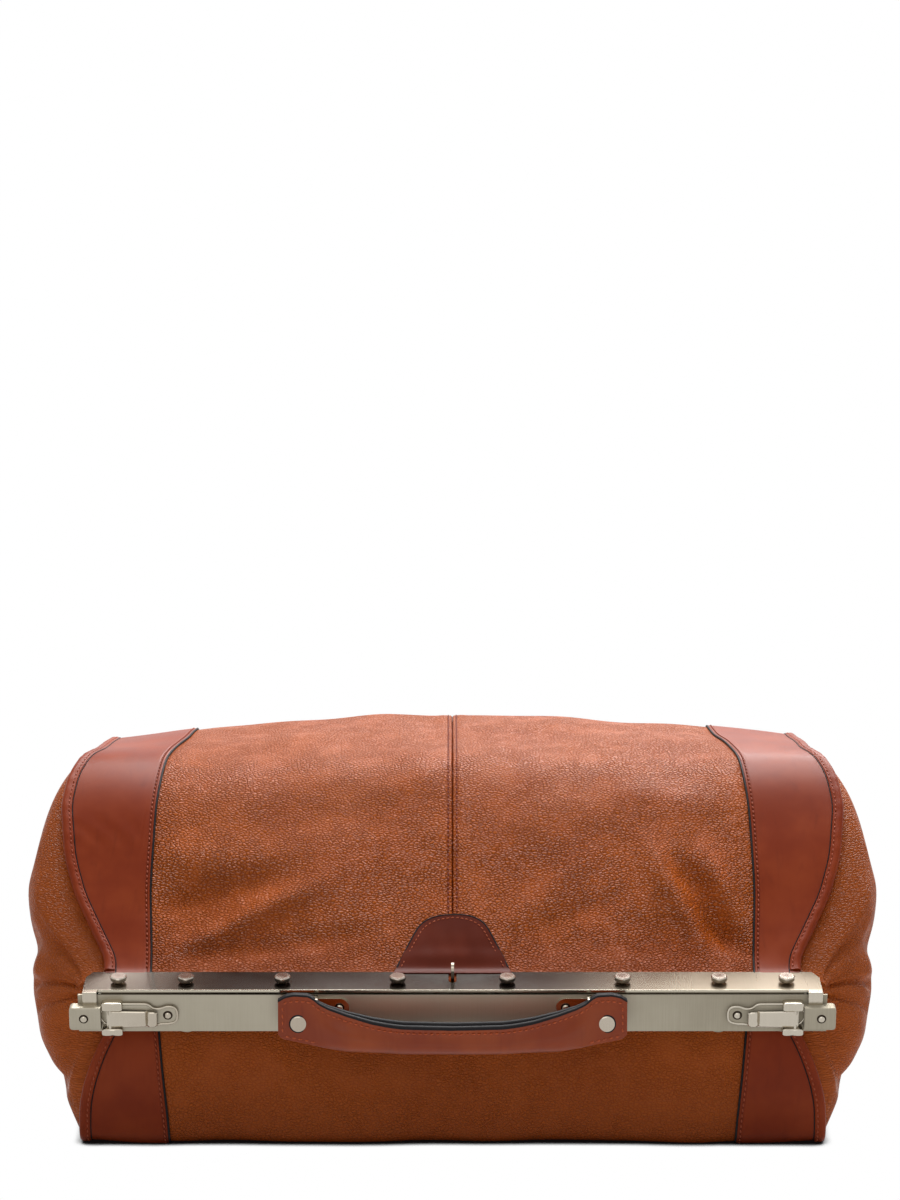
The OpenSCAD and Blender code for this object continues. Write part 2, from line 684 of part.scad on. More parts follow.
grip_end = loop_x - loop_l / 2 + 1.5;
core_end = grip_end - 10;
barrel_l = loop_l - 2.5;
module handle_cover() {
    wall = 2.2;
    flat_top = loop_r + 3.3;
    color(smooth_hide) at_axis() difference() {
        union() {
            loft([for (i = [-10:10]) grip_ring(grip_end * i / 10, 0)]);
            for (side = [-1, 1]) on_side(side) translate([grip_end - 0.5, 0, 0]) {
                translate([0, -end_t / 2, -end_h])
                    cube([handle_l / 2 - grip_end + 0.5, end_t, end_h - flat_top]);
                translate([0, -end_t / 2, -end_h + 1]) cube([barrel_l, end_t, end_h - 1]);
                rotate([0, 90, 0]) cylinder(r = end_t / 2 + 1, h = barrel_l);
            }
        }
        loft([for (i = [-8:8]) grip_ring(core_end * i / 8, wall)]);
        // The two sheets meet here without being glued
        translate([-core_end / 3, -grip_bow - sheet_gap / 2, -grip_drop - wall - 2])
            cube([core_end * 2 / 3, sheet_gap, wall + 6]);
        for (side = [-1, 1]) on_side(side) {
            translate([grip_end - 2, 0, 0]) rotate([0, 90, 0]) cylinder(r = loop_r + pin_fit, h = loop_l);
            translate([loop_x, end_t, handle_rivet_v]) rotate([90, 0, 0])
                cylinder(r = rivet_r + 0.1, h = 2 * end_t);
        }
    }
}

module handle_core() {
    color(board) at_axis() loft([for (i = [-8:8]) grip_ring((core_end - sheet_gap) * i / 8, 2.4)]);
}

module handle_rivets() {
    color(nickel) at_axis() for (side = [-1, 1]) translate([side * loop_x, 0, handle_rivet_v])
        rotate([90, 0, 0]) {
            translate([0, 0, -end_t / 2 - 0.9]) cylinder(r = handle_rivet / 2 - 1, h = 0.8);
            translate([0, 0, -end_t / 2 - 0.5]) cylinder(r = rivet_r + 0.05, h = end_t + 1);
            translate([0, 0, end_t / 2 + 0.1]) cylinder(r = handle_rivet / 2, h = 1.2);
        }
}

// Saddle on the plate with the bar that the handle turns on
saddle_reach = 25;
saddle_drop = 6.5;
saddle_x = loop_x - saddle_reach;
saddle_v = loop_v - saddle_drop;
saddle_r = 6;
post_w = 2 * loop_r - 1;
module handle_saddle(side) {
    arm = loop_x - loop_l / 2 - 1.2;
    out = loop_x + loop_l / 2;
    color(nickel) in_frame() on_side(side) difference() {
        union() {
            translate([saddle_x, 0, saddle_v]) rotate([90, 0, 0]) cylinder(r = saddle_r, h = base_t);
            translate([saddle_x, -base_t, saddle_v - saddle_r]) cube([arm - saddle_x, base_t, 2 * saddle_r]);
            for (x = [arm - 3, out]) {
                translate([x, -loop_d, loop_v - loop_r]) cube([2.6, loop_d, post_w]);
                translate([x, -loop_d, loop_v]) rotate([0, 90, 0]) cylinder(r = loop_r + 0.4, h = 2.6);
            }
            translate([arm - 1, -loop_d, loop_v]) rotate([0, 90, 0]) cylinder(r = loop_r, h = out - arm + 2);
        }
        translate([saddle_x, 1, saddle_v]) rotate([90, 0, 0]) cylinder(r = rivet_r, h = base_t + 2);
    }
}

module saddle_rivets() {
    color(nickel) in_frame() for (side = [-1, 1])
        translate([side * saddle_x, 0, saddle_v]) dome_rivet(base_t);
}

// Board inside the base, against the lining
module base_board() {
    face = mouth_y + bag_depth - leather_t - lining_t - 2 * sheet_gap;
    color(board) translate([8 - base_w / 2, face - board_t, base_r + 4])
        cube([base_w - 16, board_t, base_h - crown - 2 * base_r - 8]);
}

foot_side = 20;
foot_edge = 24;
module base_feet() {
    color(nickel) for (x = [-1, 1], z = [0, 1])
        translate([x * (band_gap_base / 2 - foot_side), mouth_y + bag_depth + 0.1,
            mix(base_r + foot_edge, base_h - crown - base_r - foot_edge, z)])
            rotate([-90, 0, 0]) rotate_extrude() polygon([[0, 0], [foot_r, 0], [foot_r - 0.5, foot_h * 0.4],
                [foot_r * 0.7, foot_h * 0.8], [foot_r * 0.4, foot_h - 0.1], [0, foot_h - 0.1]]);
}

half_panel(-1, fold_row, top_row);  // front_panel_left
half_panel(1, fold_row, top_row);  // front_panel_right
front_fold(-1);  // front_fold_left
front_fold(1);  // front_fold_right
full_panel(top_row, floor_row, 8);  // base_panel
rear_panel();
band(-1, fold_row, last_row);  // band_left
band(1, fold_row, last_row);  // band_right
folding() band(-1, 0, fold_row);  // band_fold_left
folding() band(1, 0, fold_row);  // band_fold_right
binding(-1, fold_row, last_row - 1);  // binding_left
binding(1, fold_row, last_row - 1);  // binding_right
folding() binding(-1, 1, fold_row);  // binding_fold_left
folding() binding(1, 1, fold_row);  // binding_fold_right
gusset_side(-1);  // gusset_left
gusset_side(1);  // gusset_right
gusset_fold(-1);  // gusset_fold_left
gusset_fold(1);  // gusset_fold_right
gusset_pleat(-1);  // gusset_pleat_left
gusset_pleat(1);  // gusset_pleat_right
lining_wrap(fold_row, last_row - 1);  // lining
folding() lining_wrap(1, fold_row);  // lining_fold
padlock_tab();
base_board();
base_feet();
rear_jaw();
rear_strip();
rear_studs();
front_jaw();
catch_tongues();
front_strip();
front_studs();
hinge_pins();
hinge_washers();
padlock_staple();
catch_base(-1);  // catch_base_left
catch_base(1);  // catch_base_right
catch_lever(-1);  // catch_lever_left
catch_lever(1);  // catch_lever_right
catch_pin(-1);  // catch_pin_left
catch_pin(1);  // catch_pin_right
catch_spring(-1);  // catch_spring_left
catch_spring(1);  // catch_spring_right
catch_rivets();
handle_cover();
handle_core();
handle_rivets();
handle_saddle(-1);  // handle_saddle_left
handle_saddle(1);  // handle_saddle_right
saddle_rivets();
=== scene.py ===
import json
import math

import bmesh
import bpy
import numpy as np
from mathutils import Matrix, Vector


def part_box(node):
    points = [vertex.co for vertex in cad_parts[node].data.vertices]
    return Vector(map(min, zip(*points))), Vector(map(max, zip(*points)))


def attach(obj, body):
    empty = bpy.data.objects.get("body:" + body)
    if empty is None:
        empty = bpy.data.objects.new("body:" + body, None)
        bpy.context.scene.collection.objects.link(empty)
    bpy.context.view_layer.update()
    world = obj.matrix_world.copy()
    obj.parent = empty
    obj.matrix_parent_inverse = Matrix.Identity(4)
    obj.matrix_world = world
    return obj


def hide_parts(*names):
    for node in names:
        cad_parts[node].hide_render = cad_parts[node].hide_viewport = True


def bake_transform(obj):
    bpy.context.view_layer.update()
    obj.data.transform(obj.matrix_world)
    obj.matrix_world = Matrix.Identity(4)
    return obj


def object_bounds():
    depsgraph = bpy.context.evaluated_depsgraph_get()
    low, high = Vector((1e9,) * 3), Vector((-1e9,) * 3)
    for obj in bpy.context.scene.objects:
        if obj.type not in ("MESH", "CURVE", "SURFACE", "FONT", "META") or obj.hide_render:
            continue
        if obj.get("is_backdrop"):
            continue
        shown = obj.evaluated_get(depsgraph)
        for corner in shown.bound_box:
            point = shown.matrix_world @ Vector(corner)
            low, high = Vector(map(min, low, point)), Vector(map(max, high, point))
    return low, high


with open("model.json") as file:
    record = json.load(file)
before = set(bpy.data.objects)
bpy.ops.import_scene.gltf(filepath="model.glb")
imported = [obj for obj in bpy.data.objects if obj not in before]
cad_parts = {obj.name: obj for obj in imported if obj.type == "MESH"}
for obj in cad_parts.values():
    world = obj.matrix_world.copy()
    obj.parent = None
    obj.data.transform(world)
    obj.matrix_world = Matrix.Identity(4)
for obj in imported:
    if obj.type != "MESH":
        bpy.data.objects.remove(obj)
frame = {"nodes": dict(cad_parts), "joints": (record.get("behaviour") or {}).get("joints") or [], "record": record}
cadLow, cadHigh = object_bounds()
print("frame loaded with", len(frame["nodes"]), "nodes")

# All lengths below are millimetres, and metres only when a mesh is written.
# Depth is counted from the face of the top plate, rise across the tilted frame.

joints = {j["name"]: j for j in frame["joints"]}
leverAxis = joints["right_catch_lever"]["axis"]
tilt = math.atan2(-leverAxis[1], leverAxis[2])
hinge = np.array(joints["jaw_hinge"]["pos_m"][1:]) * 1000
handleAxis = np.array(joints["handle_swing"]["pos_m"][1:]) * 1000
hingeDepth = 110
deepWay = np.array([math.cos(tilt), math.sin(tilt)])
riseWay = np.array([-math.sin(tilt), math.cos(tilt)])
mouthY, mouthHeight = hinge - deepWay * hingeDepth
bodyOf = {node: body for body, nodes in frame["record"]["behaviour"]["bodies"].items() for node in nodes}
sides = {"left": -1, "right": 1}


# Depth from the plate and height above the floor of a point of the tilted frame.
def framed(depth, rise):
    return np.array([0, mouthHeight]) + depth * deepWay + rise * riseWay


# Row-frame points of arrays x, depth and rise given in the tilted frame's own directions.
def inFrame(x, depth, rise):
    x, depth, rise = np.broadcast_arrays(np.asarray(x, float), depth, rise)
    y = mouthY + depth * deepWay[0] + rise * riseWay[0]
    z = mouthHeight + depth * deepWay[1] + rise * riseWay[1]
    return np.stack([x, y, z], -1)


# Straight blend from a to b.
def mix(a, b, t):
    return a + (b - a) * t


# Smooth step from 0 to 1.
def ease(t):
    t = np.clip(t, 0, 1)
    return t * t * (3 - 2 * t)


# Gaussian bump of height 1.
def hill(u, centre, width):
    return np.exp(-((u - centre) / width) ** 2)


def unit(v):
    return v / np.linalg.norm(v, axis=-1, keepdims=True)


def circle(count):
    return np.linspace(0, 2 * math.pi, count, endpoint=False)


def gridOf(u, v):
    return np.meshgrid(u, v, indexing="ij")


# Distance run along a grid of points, from its first row or from its first column.
def runAlong(points, axis=0):
    steps = np.diff(points, axis=axis, prepend=np.take(points, [0], axis))
    return np.cumsum(np.linalg.norm(steps, axis=-1), axis=axis)


# Cubic curve from the first point to the last, drawn towards the two between them.
def bezier(points, t):
    t = t[:, None]
    a, b, c, d = np.array(points, float)
    return (1 - t) ** 3 * a + 3 * (1 - t) ** 2 * t * b + 3 * (1 - t) * t * t * c + t ** 3 * d


# Weighted moving average over an even count of steps, with the ends held.
def smoothed(values, width):
    n = width // 2
    padded = np.r_[2 * values[0] - values[n:0:-1], values, 2 * values[-1] - values[-2:-n - 2:-1]]
    weights = np.hanning(2 * n + 3)[1:-1]
    return np.convolve(padded, weights / weights.sum(), "valid")


def addObject(name, data):
    made = bpy.data.objects.new(name, data)
    bpy.context.scene.collection.objects.link(made)
    return made


# Camera

cameraSet = {"lens": 96, "sensorHeight": 36, "pitch": 5, "place": (-1.6, -2088, 518), "reach": 60}


def placeCamera(c):
    data = bpy.data.cameras.new("camera")
    data.lens = c["lens"]
    data.sensor_fit = "VERTICAL"
    data.sensor_height = c["sensorHeight"]
    data.clip_end = c["reach"]
    eye = addObject("camera", data)
    eye.location = Vector(c["place"]) / 1000
    eye.rotation_euler = (math.radians(90 - c["pitch"]), 0, 0)
    bpy.context.scene.camera = eye


placeCamera(cameraSet)

# Meshes


# One mesh from points in millimetres. grain is a UV pair and marks a value for each point. inner says for
# each face whether it takes the second of two materials.
def makeMesh(name, points, faces, material, grain=None, inner=None, marks=None, sharp=38):
    mesh = bpy.data.meshes.new(name)
    mesh.from_pydata((points / 1000).tolist(), [], faces)
    work = bmesh.new()
    work.from_mesh(mesh)
    bmesh.ops.recalc_face_normals(work, faces=work.faces)
    work.to_mesh(mesh)
    work.free()
    for m in material if isinstance(material, tuple) else (material,):
        mesh.materials.append(m)
    if len(mesh.materials) > 1:
        mesh.polygons.foreach_set("material_index", inner.astype(np.int32))
    corner = np.zeros(len(mesh.loops), np.int32)
    mesh.loops.foreach_get("vertex_index", corner)
    grain = points[:, [0, 2]] / 100 if grain is None else grain.reshape(-1, 2)
    mesh.uv_layers.new(name="grain").data.foreach_set("uv", grain[corner].astype(np.float32).ravel())
    values = np.zeros(len(points)) if marks is None else marks.ravel()
    mesh.attributes.new("marks", "FLOAT", "POINT").data.foreach_set("value", values.astype(np.float32))
    mesh.shade_smooth()
    mesh.set_sharp_from_angle(angle=math.radians(sharp))
    return addObject(name, mesh)


# Closed sheet: an outer and an inner grid of points, joined round their rim.
def shell(name, outer, inner, material, grain=None, marks=None, sharp=38):
    n, m = outer.shape[:2]
    first = (m * np.arange(n - 1)[:, None] + np.arange(m - 1)).ravel()
    top = np.stack([first, first + 1, first + m + 1, first + m], -1)
    rim = np.concatenate([np.arange(m), m - 1 + m * np.arange(1, n),
                          (n - 1) * m + np.arange(m - 2, -1, -1), m * np.arange(n - 2, 0, -1)])
    after = np.roll(rim, -1)
    wall = np.stack([rim, rim + n * m, after + n * m, after], -1)
    faces = np.vstack([top, wall, top[:, ::-1] + n * m]).tolist()
    isInner = np.repeat([0, 1], [len(top) + len(wall), len(top)])
    grain, marks = (None if v is None else np.stack([v, v]) for v in (grain, marks))
    points = np.stack([outer, inner]).reshape(-1, 3)
    return makeMesh(name, points, faces, material, grain, isInner, marks, sharp)


# Faces of n closed sections of m points, with caps, or joined end to end as a ring.
def tubeFaces(n, m, offset=0, ring=False):
    i, j = gridOf(np.arange(n if ring else n - 1), np.arange(m))
    nextI, nextJ = (i + 1) % n, (j + 1) % m
    quads = np.stack([i * m + j, i * m + nextJ, nextI * m + nextJ, nextI * m + j], -1).reshape(-1, 4)
    faces = (quads + offset).tolist()
    if not ring:
        faces.append((offset + np.arange(m)[::-1]).tolist())
        faces.append((offset + (n - 1) * m + np.arange(m)).tolist())
    return faces


# The same for count such bodies, whose points follow one another.
def copiedFaces(count, n, m):
    return [face for k in range(count) for face in tubeFaces(n, m, k * n * m)]


# Closed body through sections, an array of n outlines with m points each.
def tube(name, sections, material, grain=None, ring=False, sharp=38):
    faces = tubeFaces(*sections.shape[:2], 0, ring)
    return makeMesh(name, sections.reshape(-1, 3), faces, material, grain, sharp=sharp)


# Sections of an oval rod: path + aside * wide * cos(angle) + up * tall * sin(angle).
def rod(path, aside, up, wide, tall, sides):
    angle = circle(sides)[:, None]
    return path[:, None] + aside[:, None] * (wide * np.cos(angle)) + up[:, None] * (tall * np.sin(angle))


# One object from several, with the first one's name and materials.
def joined(pieces):
    with bpy.context.temp_override(active_object=pieces[0], selected_editable_objects=pieces):
        bpy.ops.object.join()
    return pieces[0]


# Shader maths


# A socket whose arithmetic adds Math nodes.
class Value:

    def __init__(self, shader, socket):
        self.shader, self.socket = shader, socket

    def __add__(self, other):
        return self.shader.maths("ADD", self, other)

    def __sub__(self, other):
        return self.shader.maths("SUBTRACT", self, other)

    def __rsub__(self, other):
        return self.shader.maths("SUBTRACT", other, self)

    def __mul__(self, other):
        return self.shader.maths("MULTIPLY", self, other)

    __radd__ = __add__
    __rmul__ = __mul__


# A material, or a world, whose nodes are made one call at a time, from the last part of a node type's name.
# Colours are given as three numbers.
class Shader:

    def __init__(self, name, store=bpy.data.materials):
        self.owner = store.new(name)
        self.owner.use_nodes = True
        self.tree = self.owner.node_tree
        self.tree.nodes.clear()

    def node(self, kind, settings=None, inputs=None, output=0):
        made = self.tree.nodes.new("ShaderNode" + kind)
        for key, value in (settings or {}).items():
            setattr(made, key, value)
        for key, value in (inputs or {}).items():
            socket = made.inputs[key]
            if isinstance(value, Value):
                self.tree.links.new(value.socket, socket)
            else:
                socket.default_value = (*value, 1.0) if socket.type == "RGBA" else value
        return Value(self, made.outputs[output]) if len(made.outputs) else None

    def maths(self, operation, *values):
        return self.node("Math", {"operation": operation}, dict(enumerate(values)))

    def grain(self):
        return self.node("UVMap", {"uv_map": "grain"})

    def marks(self):
        return self.node("Attribute", {"attribute_name": "marks"}, {}, "Fac")

    def place(self):
        return self.node("TexCoord", {}, {}, "Object")

    # 1 for rays from the camera, from mirrors and through glass, and 0 for all others.
    def seen(self):
        rays = [self.node("LightPath", {}, {}, "Is " + kind + " Ray")
                for kind in ("Camera", "Glossy", "Transmission")]
        return self.maths("MINIMUM", rays[0] + rays[1] + rays[2], 1.0)

    # 0 below low, 1 above high and smooth between them.
    def step(self, value, low, high):
        return self.node("MapRange", {"interpolation_type": "SMOOTHSTEP"},
                         {"Value": value, "From Min": low, "From Max": high})

    def blendColour(self, factor, a, b):
        return self.node("Mix", {"data_type": "RGBA"}, {0: factor, 6: a, 7: b}, 2)

    def scaled(self, vector, x, y, z=1.0):
        return self.node("VectorMath", {"operation": "MULTIPLY"}, {0: vector, 1: (x, y, z)})

    def noise(self, vector, scale, detail=2.0, rough=0.5, bend=0.0):
        return self.node("TexNoise", {}, {"Vector": vector, "Scale": scale, "Detail": detail,
                                          "Roughness": rough, "Distortion": bend})

    # Cells of a size in millimetres on the grain UV.
    def cells(self, vector, size, feature="F1"):
        return self.node("TexVoronoi", {"voronoi_dimensions": "2D", "feature": feature},
                         {"Vector": vector, "Scale": 100 / size})

    def finish(self, colour, rough, height, strength, depth, specular=0.5, metal=0.0):
        bump = self.node("Bump", {}, {"Height": height, "Strength": strength, "Distance": depth})
        surface = self.node("BsdfPrincipled", {}, {"Base Color": colour, "Roughness": rough, "Normal": bump,
                                                   "Specular IOR Level": specular, "Metallic": metal})
        self.node("OutputMaterial", {}, {"Surface": surface})
        return self.owner


# Materials. The grain UV counts in decimetres along the leather.

# The crease colour is the shade painted into the leather's creases and marked places; the pale colour also paints
# a highlight on the pebble tops.
pebbledTone = {
    "hide": (0.41, 0.078, 0.005), "pale": (0.5, 0.108, 0.009), "crease": (0.17, 0.021, 0.002), "cell": 2.1,
    "fineCell": 0.9, "drift": 0.012, "slant": 0.7, "stretch": (0.82, 1.12, 1), "depth": 0.0009,
    "creaseShare": 0.55, "specular": 0.15, "gloss": 0.29}
gussetTone = dict(
    pebbledTone, hide=(0.345, 0.067, 0.006), pale=(0.42, 0.091, 0.01), depth=0.00034, creaseShare=0.3,
    specular=0.14)
smoothTone = {
    "hide": (0.22, 0.027, 0.005), "pale": (0.28, 0.042, 0.009), "dark": (0.12, 0.014, 0.003), "pore": 0.45,
    "depth": 0.00005, "specular": 0.12, "gloss": 0.3}
# A darker copy of the band leather for the tab, painted shade.
tabShadeTone = dict(smoothTone, hide=(0.105, 0.015, 0.006), pale=(0.14, 0.021, 0.008), specular=0.1)
handleTone = dict(smoothTone, hide=(0.245, 0.035, 0.006), pale=(0.31, 0.055, 0.01), specular=0.28)
edgeTone = {"dark": (0.007, 0.006, 0.007), "worn": (0.02, 0.016, 0.016), "gloss": 0.42, "specular": 0.16}
plateTone = {
    "left": (0.43, 0.39, 0.31), "middle": (0.42, 0.38, 0.3), "right": (0.43, 0.39, 0.31),
    "stain": (0.2, 0.17, 0.12), "rough": 0.34, "streak": 0.12}
# Polished metal and studs, painted lighter at the ends and darker in the middle as reflections.
shinyReflectionTone = dict(
    plateTone, left=(0.5, 0.45, 0.37), middle=(0.42, 0.36, 0.29), right=(0.54, 0.49, 0.41), rough=0.1,
    streak=0.02)
studReflectionTone = dict(shinyReflectionTone, left=(0.46, 0.4, 0.34), middle=(0.39, 0.33, 0.28), right=(0.5, 0.44, 0.37))
# Painted reflections of the flange: a dark middle where it mirrors the leather, lighter ends where it mirrors
# light, and a painted highlight along its front edge.
darkReflectionTone = dict(
    plateTone, left=(0.23, 0.195, 0.155), middle=(0.034, 0.025, 0.017), right=(0.27, 0.225, 0.165),
    stain=(0.012, 0.008, 0.005), rough=0.13, streak=0.03)
flangeReflectionTone = dict(darkReflectionTone, lip=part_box("front_jaw")[0][1])
# Near-black seat rings under the rivet domes, painted shade around the rivets.
seatShadeTone = dict(darkReflectionTone, left=darkReflectionTone["middle"], right=darkReflectionTone["middle"])
clothTone = {"dark": (0.03, 0.017, 0.009), "pale": (0.06, 0.036, 0.02), "pitch": 0.8, "depth": 0.0002}
boardTone = {"dark": (0.08, 0.055, 0.035), "pale": (0.16, 0.12, 0.08)}


# Large slanting pebbles with fine ones on them, their tops painted lighter as a highlight, with painted shade in
# the creases between them and where marks is high.
def makePebbledLeather(name, p):
    s = Shader(name)
    uv = s.grain()
    drift = s.node("TexNoise", {"noise_dimensions": "2D"}, {"Vector": uv, "Scale": 42, "Detail": 1}, "Color")
    reach = (p["drift"], p["drift"], 0)
    bent = s.node("VectorMath", {"operation": "MULTIPLY_ADD"}, {0: drift, 1: reach, 2: uv})
    slant = s.node("Mapping", {}, {"Vector": bent, "Rotation": (0, 0, p["slant"]), "Scale": p["stretch"]})
    coarse = s.cells(slant, p["cell"], "DISTANCE_TO_EDGE")
    fine = s.cells(bent, p["fineCell"])
    patches = s.noise(uv, 4.5, 3.0, 0.6)
    broad = s.noise(uv, 1.6)
    pebble = s.step(coarse, 0.0, 0.32)
    strong = s.step(patches, 0.3, 0.62)
    height = pebble * (0.45 + 0.7 * strong) - fine * 0.12
    crease = (1 - s.step(coarse, 0.01, 0.13)) * (0.65 + 0.35 * strong)
    # Random mottle, with a painted highlight on the pebble tops.
    colour = s.blendColour(s.step(broad, 0.25, 0.78) * 0.45 + pebble * 0.4, p["hide"], p["pale"])
    # Painted shade in the creases between the pebbles and where marks is high.
    colour = s.blendColour(crease * p["creaseShare"], colour, p["crease"])
    colour = s.blendColour(s.marks(), colour, p["crease"])
    gloss = p["gloss"] + 0.1 * patches + 0.22 * crease
    return s.finish(colour, gloss, height, 1.0, p["depth"], p["specular"])


def makeSmoothLeather(name, p):
    s = Shader(name)
    uv = s.grain()
    pores = s.cells(uv, p["pore"])
    broad = s.noise(uv, 2.6, 3.0, 0.55)
    streaks = s.noise(s.scaled(uv, 9.0, 2.0), 2.0, 3.0, 0.6, 0.6)
    colour = s.blendColour(s.step(broad, 0.32, 0.7), p["hide"], p["pale"])
    colour = s.blendColour(s.step(streaks, 0.5, 0.85) * 0.3, colour, p["dark"])
    # Painted shade where marks is high.
    colour = s.blendColour(s.marks() * 0.8, colour, p["dark"])
    height = s.step(pores, 0.0, 0.5) * 0.5 + streaks * 0.8
    return s.finish(colour, p["gloss"] + 0.14 * broad, height, 0.5, p["depth"], p["specular"])


def makeEdgePaint(p):
    s = Shader("edgePaint")
    worn = s.noise(s.grain(), 40.0, 3.0, 0.6)
    colour = s.blendColour(s.step(worn, 0.5, 0.8), p["dark"], p["worn"])
    return s.finish(colour, p["gloss"] + 0.2 * worn, worn, 0.3, 0.0001, p["specular"])


def makeThread(name, colour, shade):
    s = Shader(name)
    twist = s.noise(s.place(), 900.0, 1.0)
    return s.finish(s.blendColour(twist, colour, shade), 0.6 + 0.1 * twist, twist, 0.5, 0.0002)


# Brushed along depth and height. The colour runs from left to right through the three tones, which in the dark and
# shiny tones paint reflections: lighter where the metal mirrors light, darker where it mirrors the leather. The
# metal is duller towards the right. A lip is a front edge in the plate's light left tone, a painted highlight.
def makeNickel(name, p):
    s = Shader(name)
    place = s.place()
    lines = s.noise(s.scaled(place, 1.0, 0.02, 0.02), 1500.0, 2.0, 0.6)
    clouds = s.noise(place, 18.0, 3.0, 0.6)
    stained = s.noise(place, 90.0, 4.0, 0.7)
    across, depth = (s.node("SeparateXYZ", {}, {"Vector": place}, k) for k in "XY")
    toLeft, toRight = s.step(across * -1, 0.13, 0.225), s.step(across, 0.04, 0.17)
    # Painted reflections: the tone from left to right.
    tone = s.blendColour(toRight, s.blendColour(toLeft, p["middle"], p["left"]), p["right"])
    shade = s.step(clouds, 0.35, 0.75) * 0.3 + s.step(stained, 0.55, 0.8) * 0.2 + lines * 0.35
    tint = s.blendColour(shade, tone, s.blendColour(0.4, tone, p["stain"]))
    if "lip" in p:
        # Painted highlight along the flange's front edge.
        tint = s.blendColour(s.step(depth, p["lip"] + 0.0004, p["lip"] + 0.0013), plateTone["left"], tint)
    gloss = p["rough"] * (1 + 0.4 * lines + 0.4 * clouds + 0.8 * toRight)
    return s.finish(tint, gloss, lines, p["streak"], 0.00005, metal=1.0)


# Twill: slanting ribs with a fine cross thread.
def makeCloth(p):
    s = Shader("liningCloth")
    uv = s.grain()
    ribs = s.node("TexWave", {"bands_direction": "DIAGONAL"},
                  {"Vector": uv, "Scale": 100 / p["pitch"] / 6.3, "Distortion": 0.6, "Detail": 1.0,
                   "Detail Scale": 3.0}, "Fac")
    soil = s.noise(uv, 4.0, 3.0, 0.6)
    tint = s.blendColour(ribs * 0.6 + soil * 0.3, p["dark"], p["pale"])
    return s.finish(tint, 0.82 + 0.1 * soil, ribs, 0.6, p["depth"])


def makeBoard(p):
    s = Shader("fibreBoard")
    fibres = s.noise(s.place(), 320.0, 4.0, 0.7, 0.8)
    return s.finish(s.blendColour(fibres, p["dark"], p["pale"]), 0.8 + 0.1 * fibres, fibres, 0.4, 0.0003)


hide = makePebbledLeather("pebbledLeather", pebbledTone)
gussetHide = makePebbledLeather("gussetLeather", gussetTone)
bandHide = makeSmoothLeather("smoothLeather", smoothTone)
tabHide = makeSmoothLeather("tabLeather", tabShadeTone)
handleHide = makeSmoothLeather("handleLeather", handleTone)
edgePaint = makeEdgePaint(edgeTone)
thread = makeThread("thread", (0.46, 0.085, 0.022), (0.22, 0.03, 0.008))
seamThread = makeThread("seamThread", (0.27, 0.036, 0.01), (0.15, 0.018, 0.006))
brightThread = makeThread("brightThread", (0.6, 0.115, 0.022), (0.3, 0.04, 0.008))
nickel = makeNickel("brushedNickel", plateTone)
polished = makeNickel("polishedNickel", shinyReflectionTone)
flangeNickel = makeNickel("flangeNickel", flangeReflectionTone)
seatNickel = makeNickel("seatNickel", seatShadeTone)
studNickel = makeNickel("studNickel", studReflectionTone)
lining = makeCloth(clothTone)
board = makeBoard(boardTone)

# The first finish of each slot is for the frame's own nodes
finishesOf = {
    "pebbled_leather": (hide, gussetHide, seamThread), "lining_cloth": (lining,), "fibre_board": (board,),
    "smooth_leather": (handleHide, bandHide, tabHide, edgePaint, thread, brightThread),
    "nickel_steel": (nickel, polished, flangeNickel, seatNickel, studNickel)}
for part in frame["record"]["subparts"]:
    mesh = frame["nodes"][part["node"]].data
    mesh.materials.clear()
    mesh.materials.append(finishesOf[part["material_slot"]][0])
print("materials made")

# Outline of the bag, from the front flange over the top, down the base, back along the floor
# and up to the rear flange

bag = {
    "depth": 288, "height": 242, "crown": 17, "slant": 0.09, "ridgeCrown": 0.1, "ridge": (155, 230),
    "cornerRadius": 16, "lift": 3, "clampDepth": 16.8, "flangeDepth": 29, "rearDepth": 31,
    "frontRise": 13.45, "rearRise": -10.65, "slopeLead": (38, 27), "ridgeLead": (52, 13),
    "topLead": (32, 8), "baseLead": (46, 2), "foot": 36, "footRadius": 10, "footLead": (-4, 26),
    "rearLead": (10, 24)}

# Half width of the bag and half gap between the bands, at distances along the outline
sideLine = [
    (0, 217.5), (24, 218), (43, 227), (73, 241), (100, 249), (140, 254.3), (166, 252), (192, 245.5),
    (216, 240), (310, 239.5), (570, 240), (690, 243), (800, 234.2), (824, 234.4), (838, 234), (852, 231),
    (869, 225), (885, 217), (899, 211.5), (914, 208)]
bandLine = [
    (0, 189), (24, 189.5), (75, 193.2), (140, 193), (190, 189.5), (225, 185), (262, 180), (310, 178.5),
    (570, 178.5), (821, 178.5), (860, 182.5), (899, 186), (914, 187)]


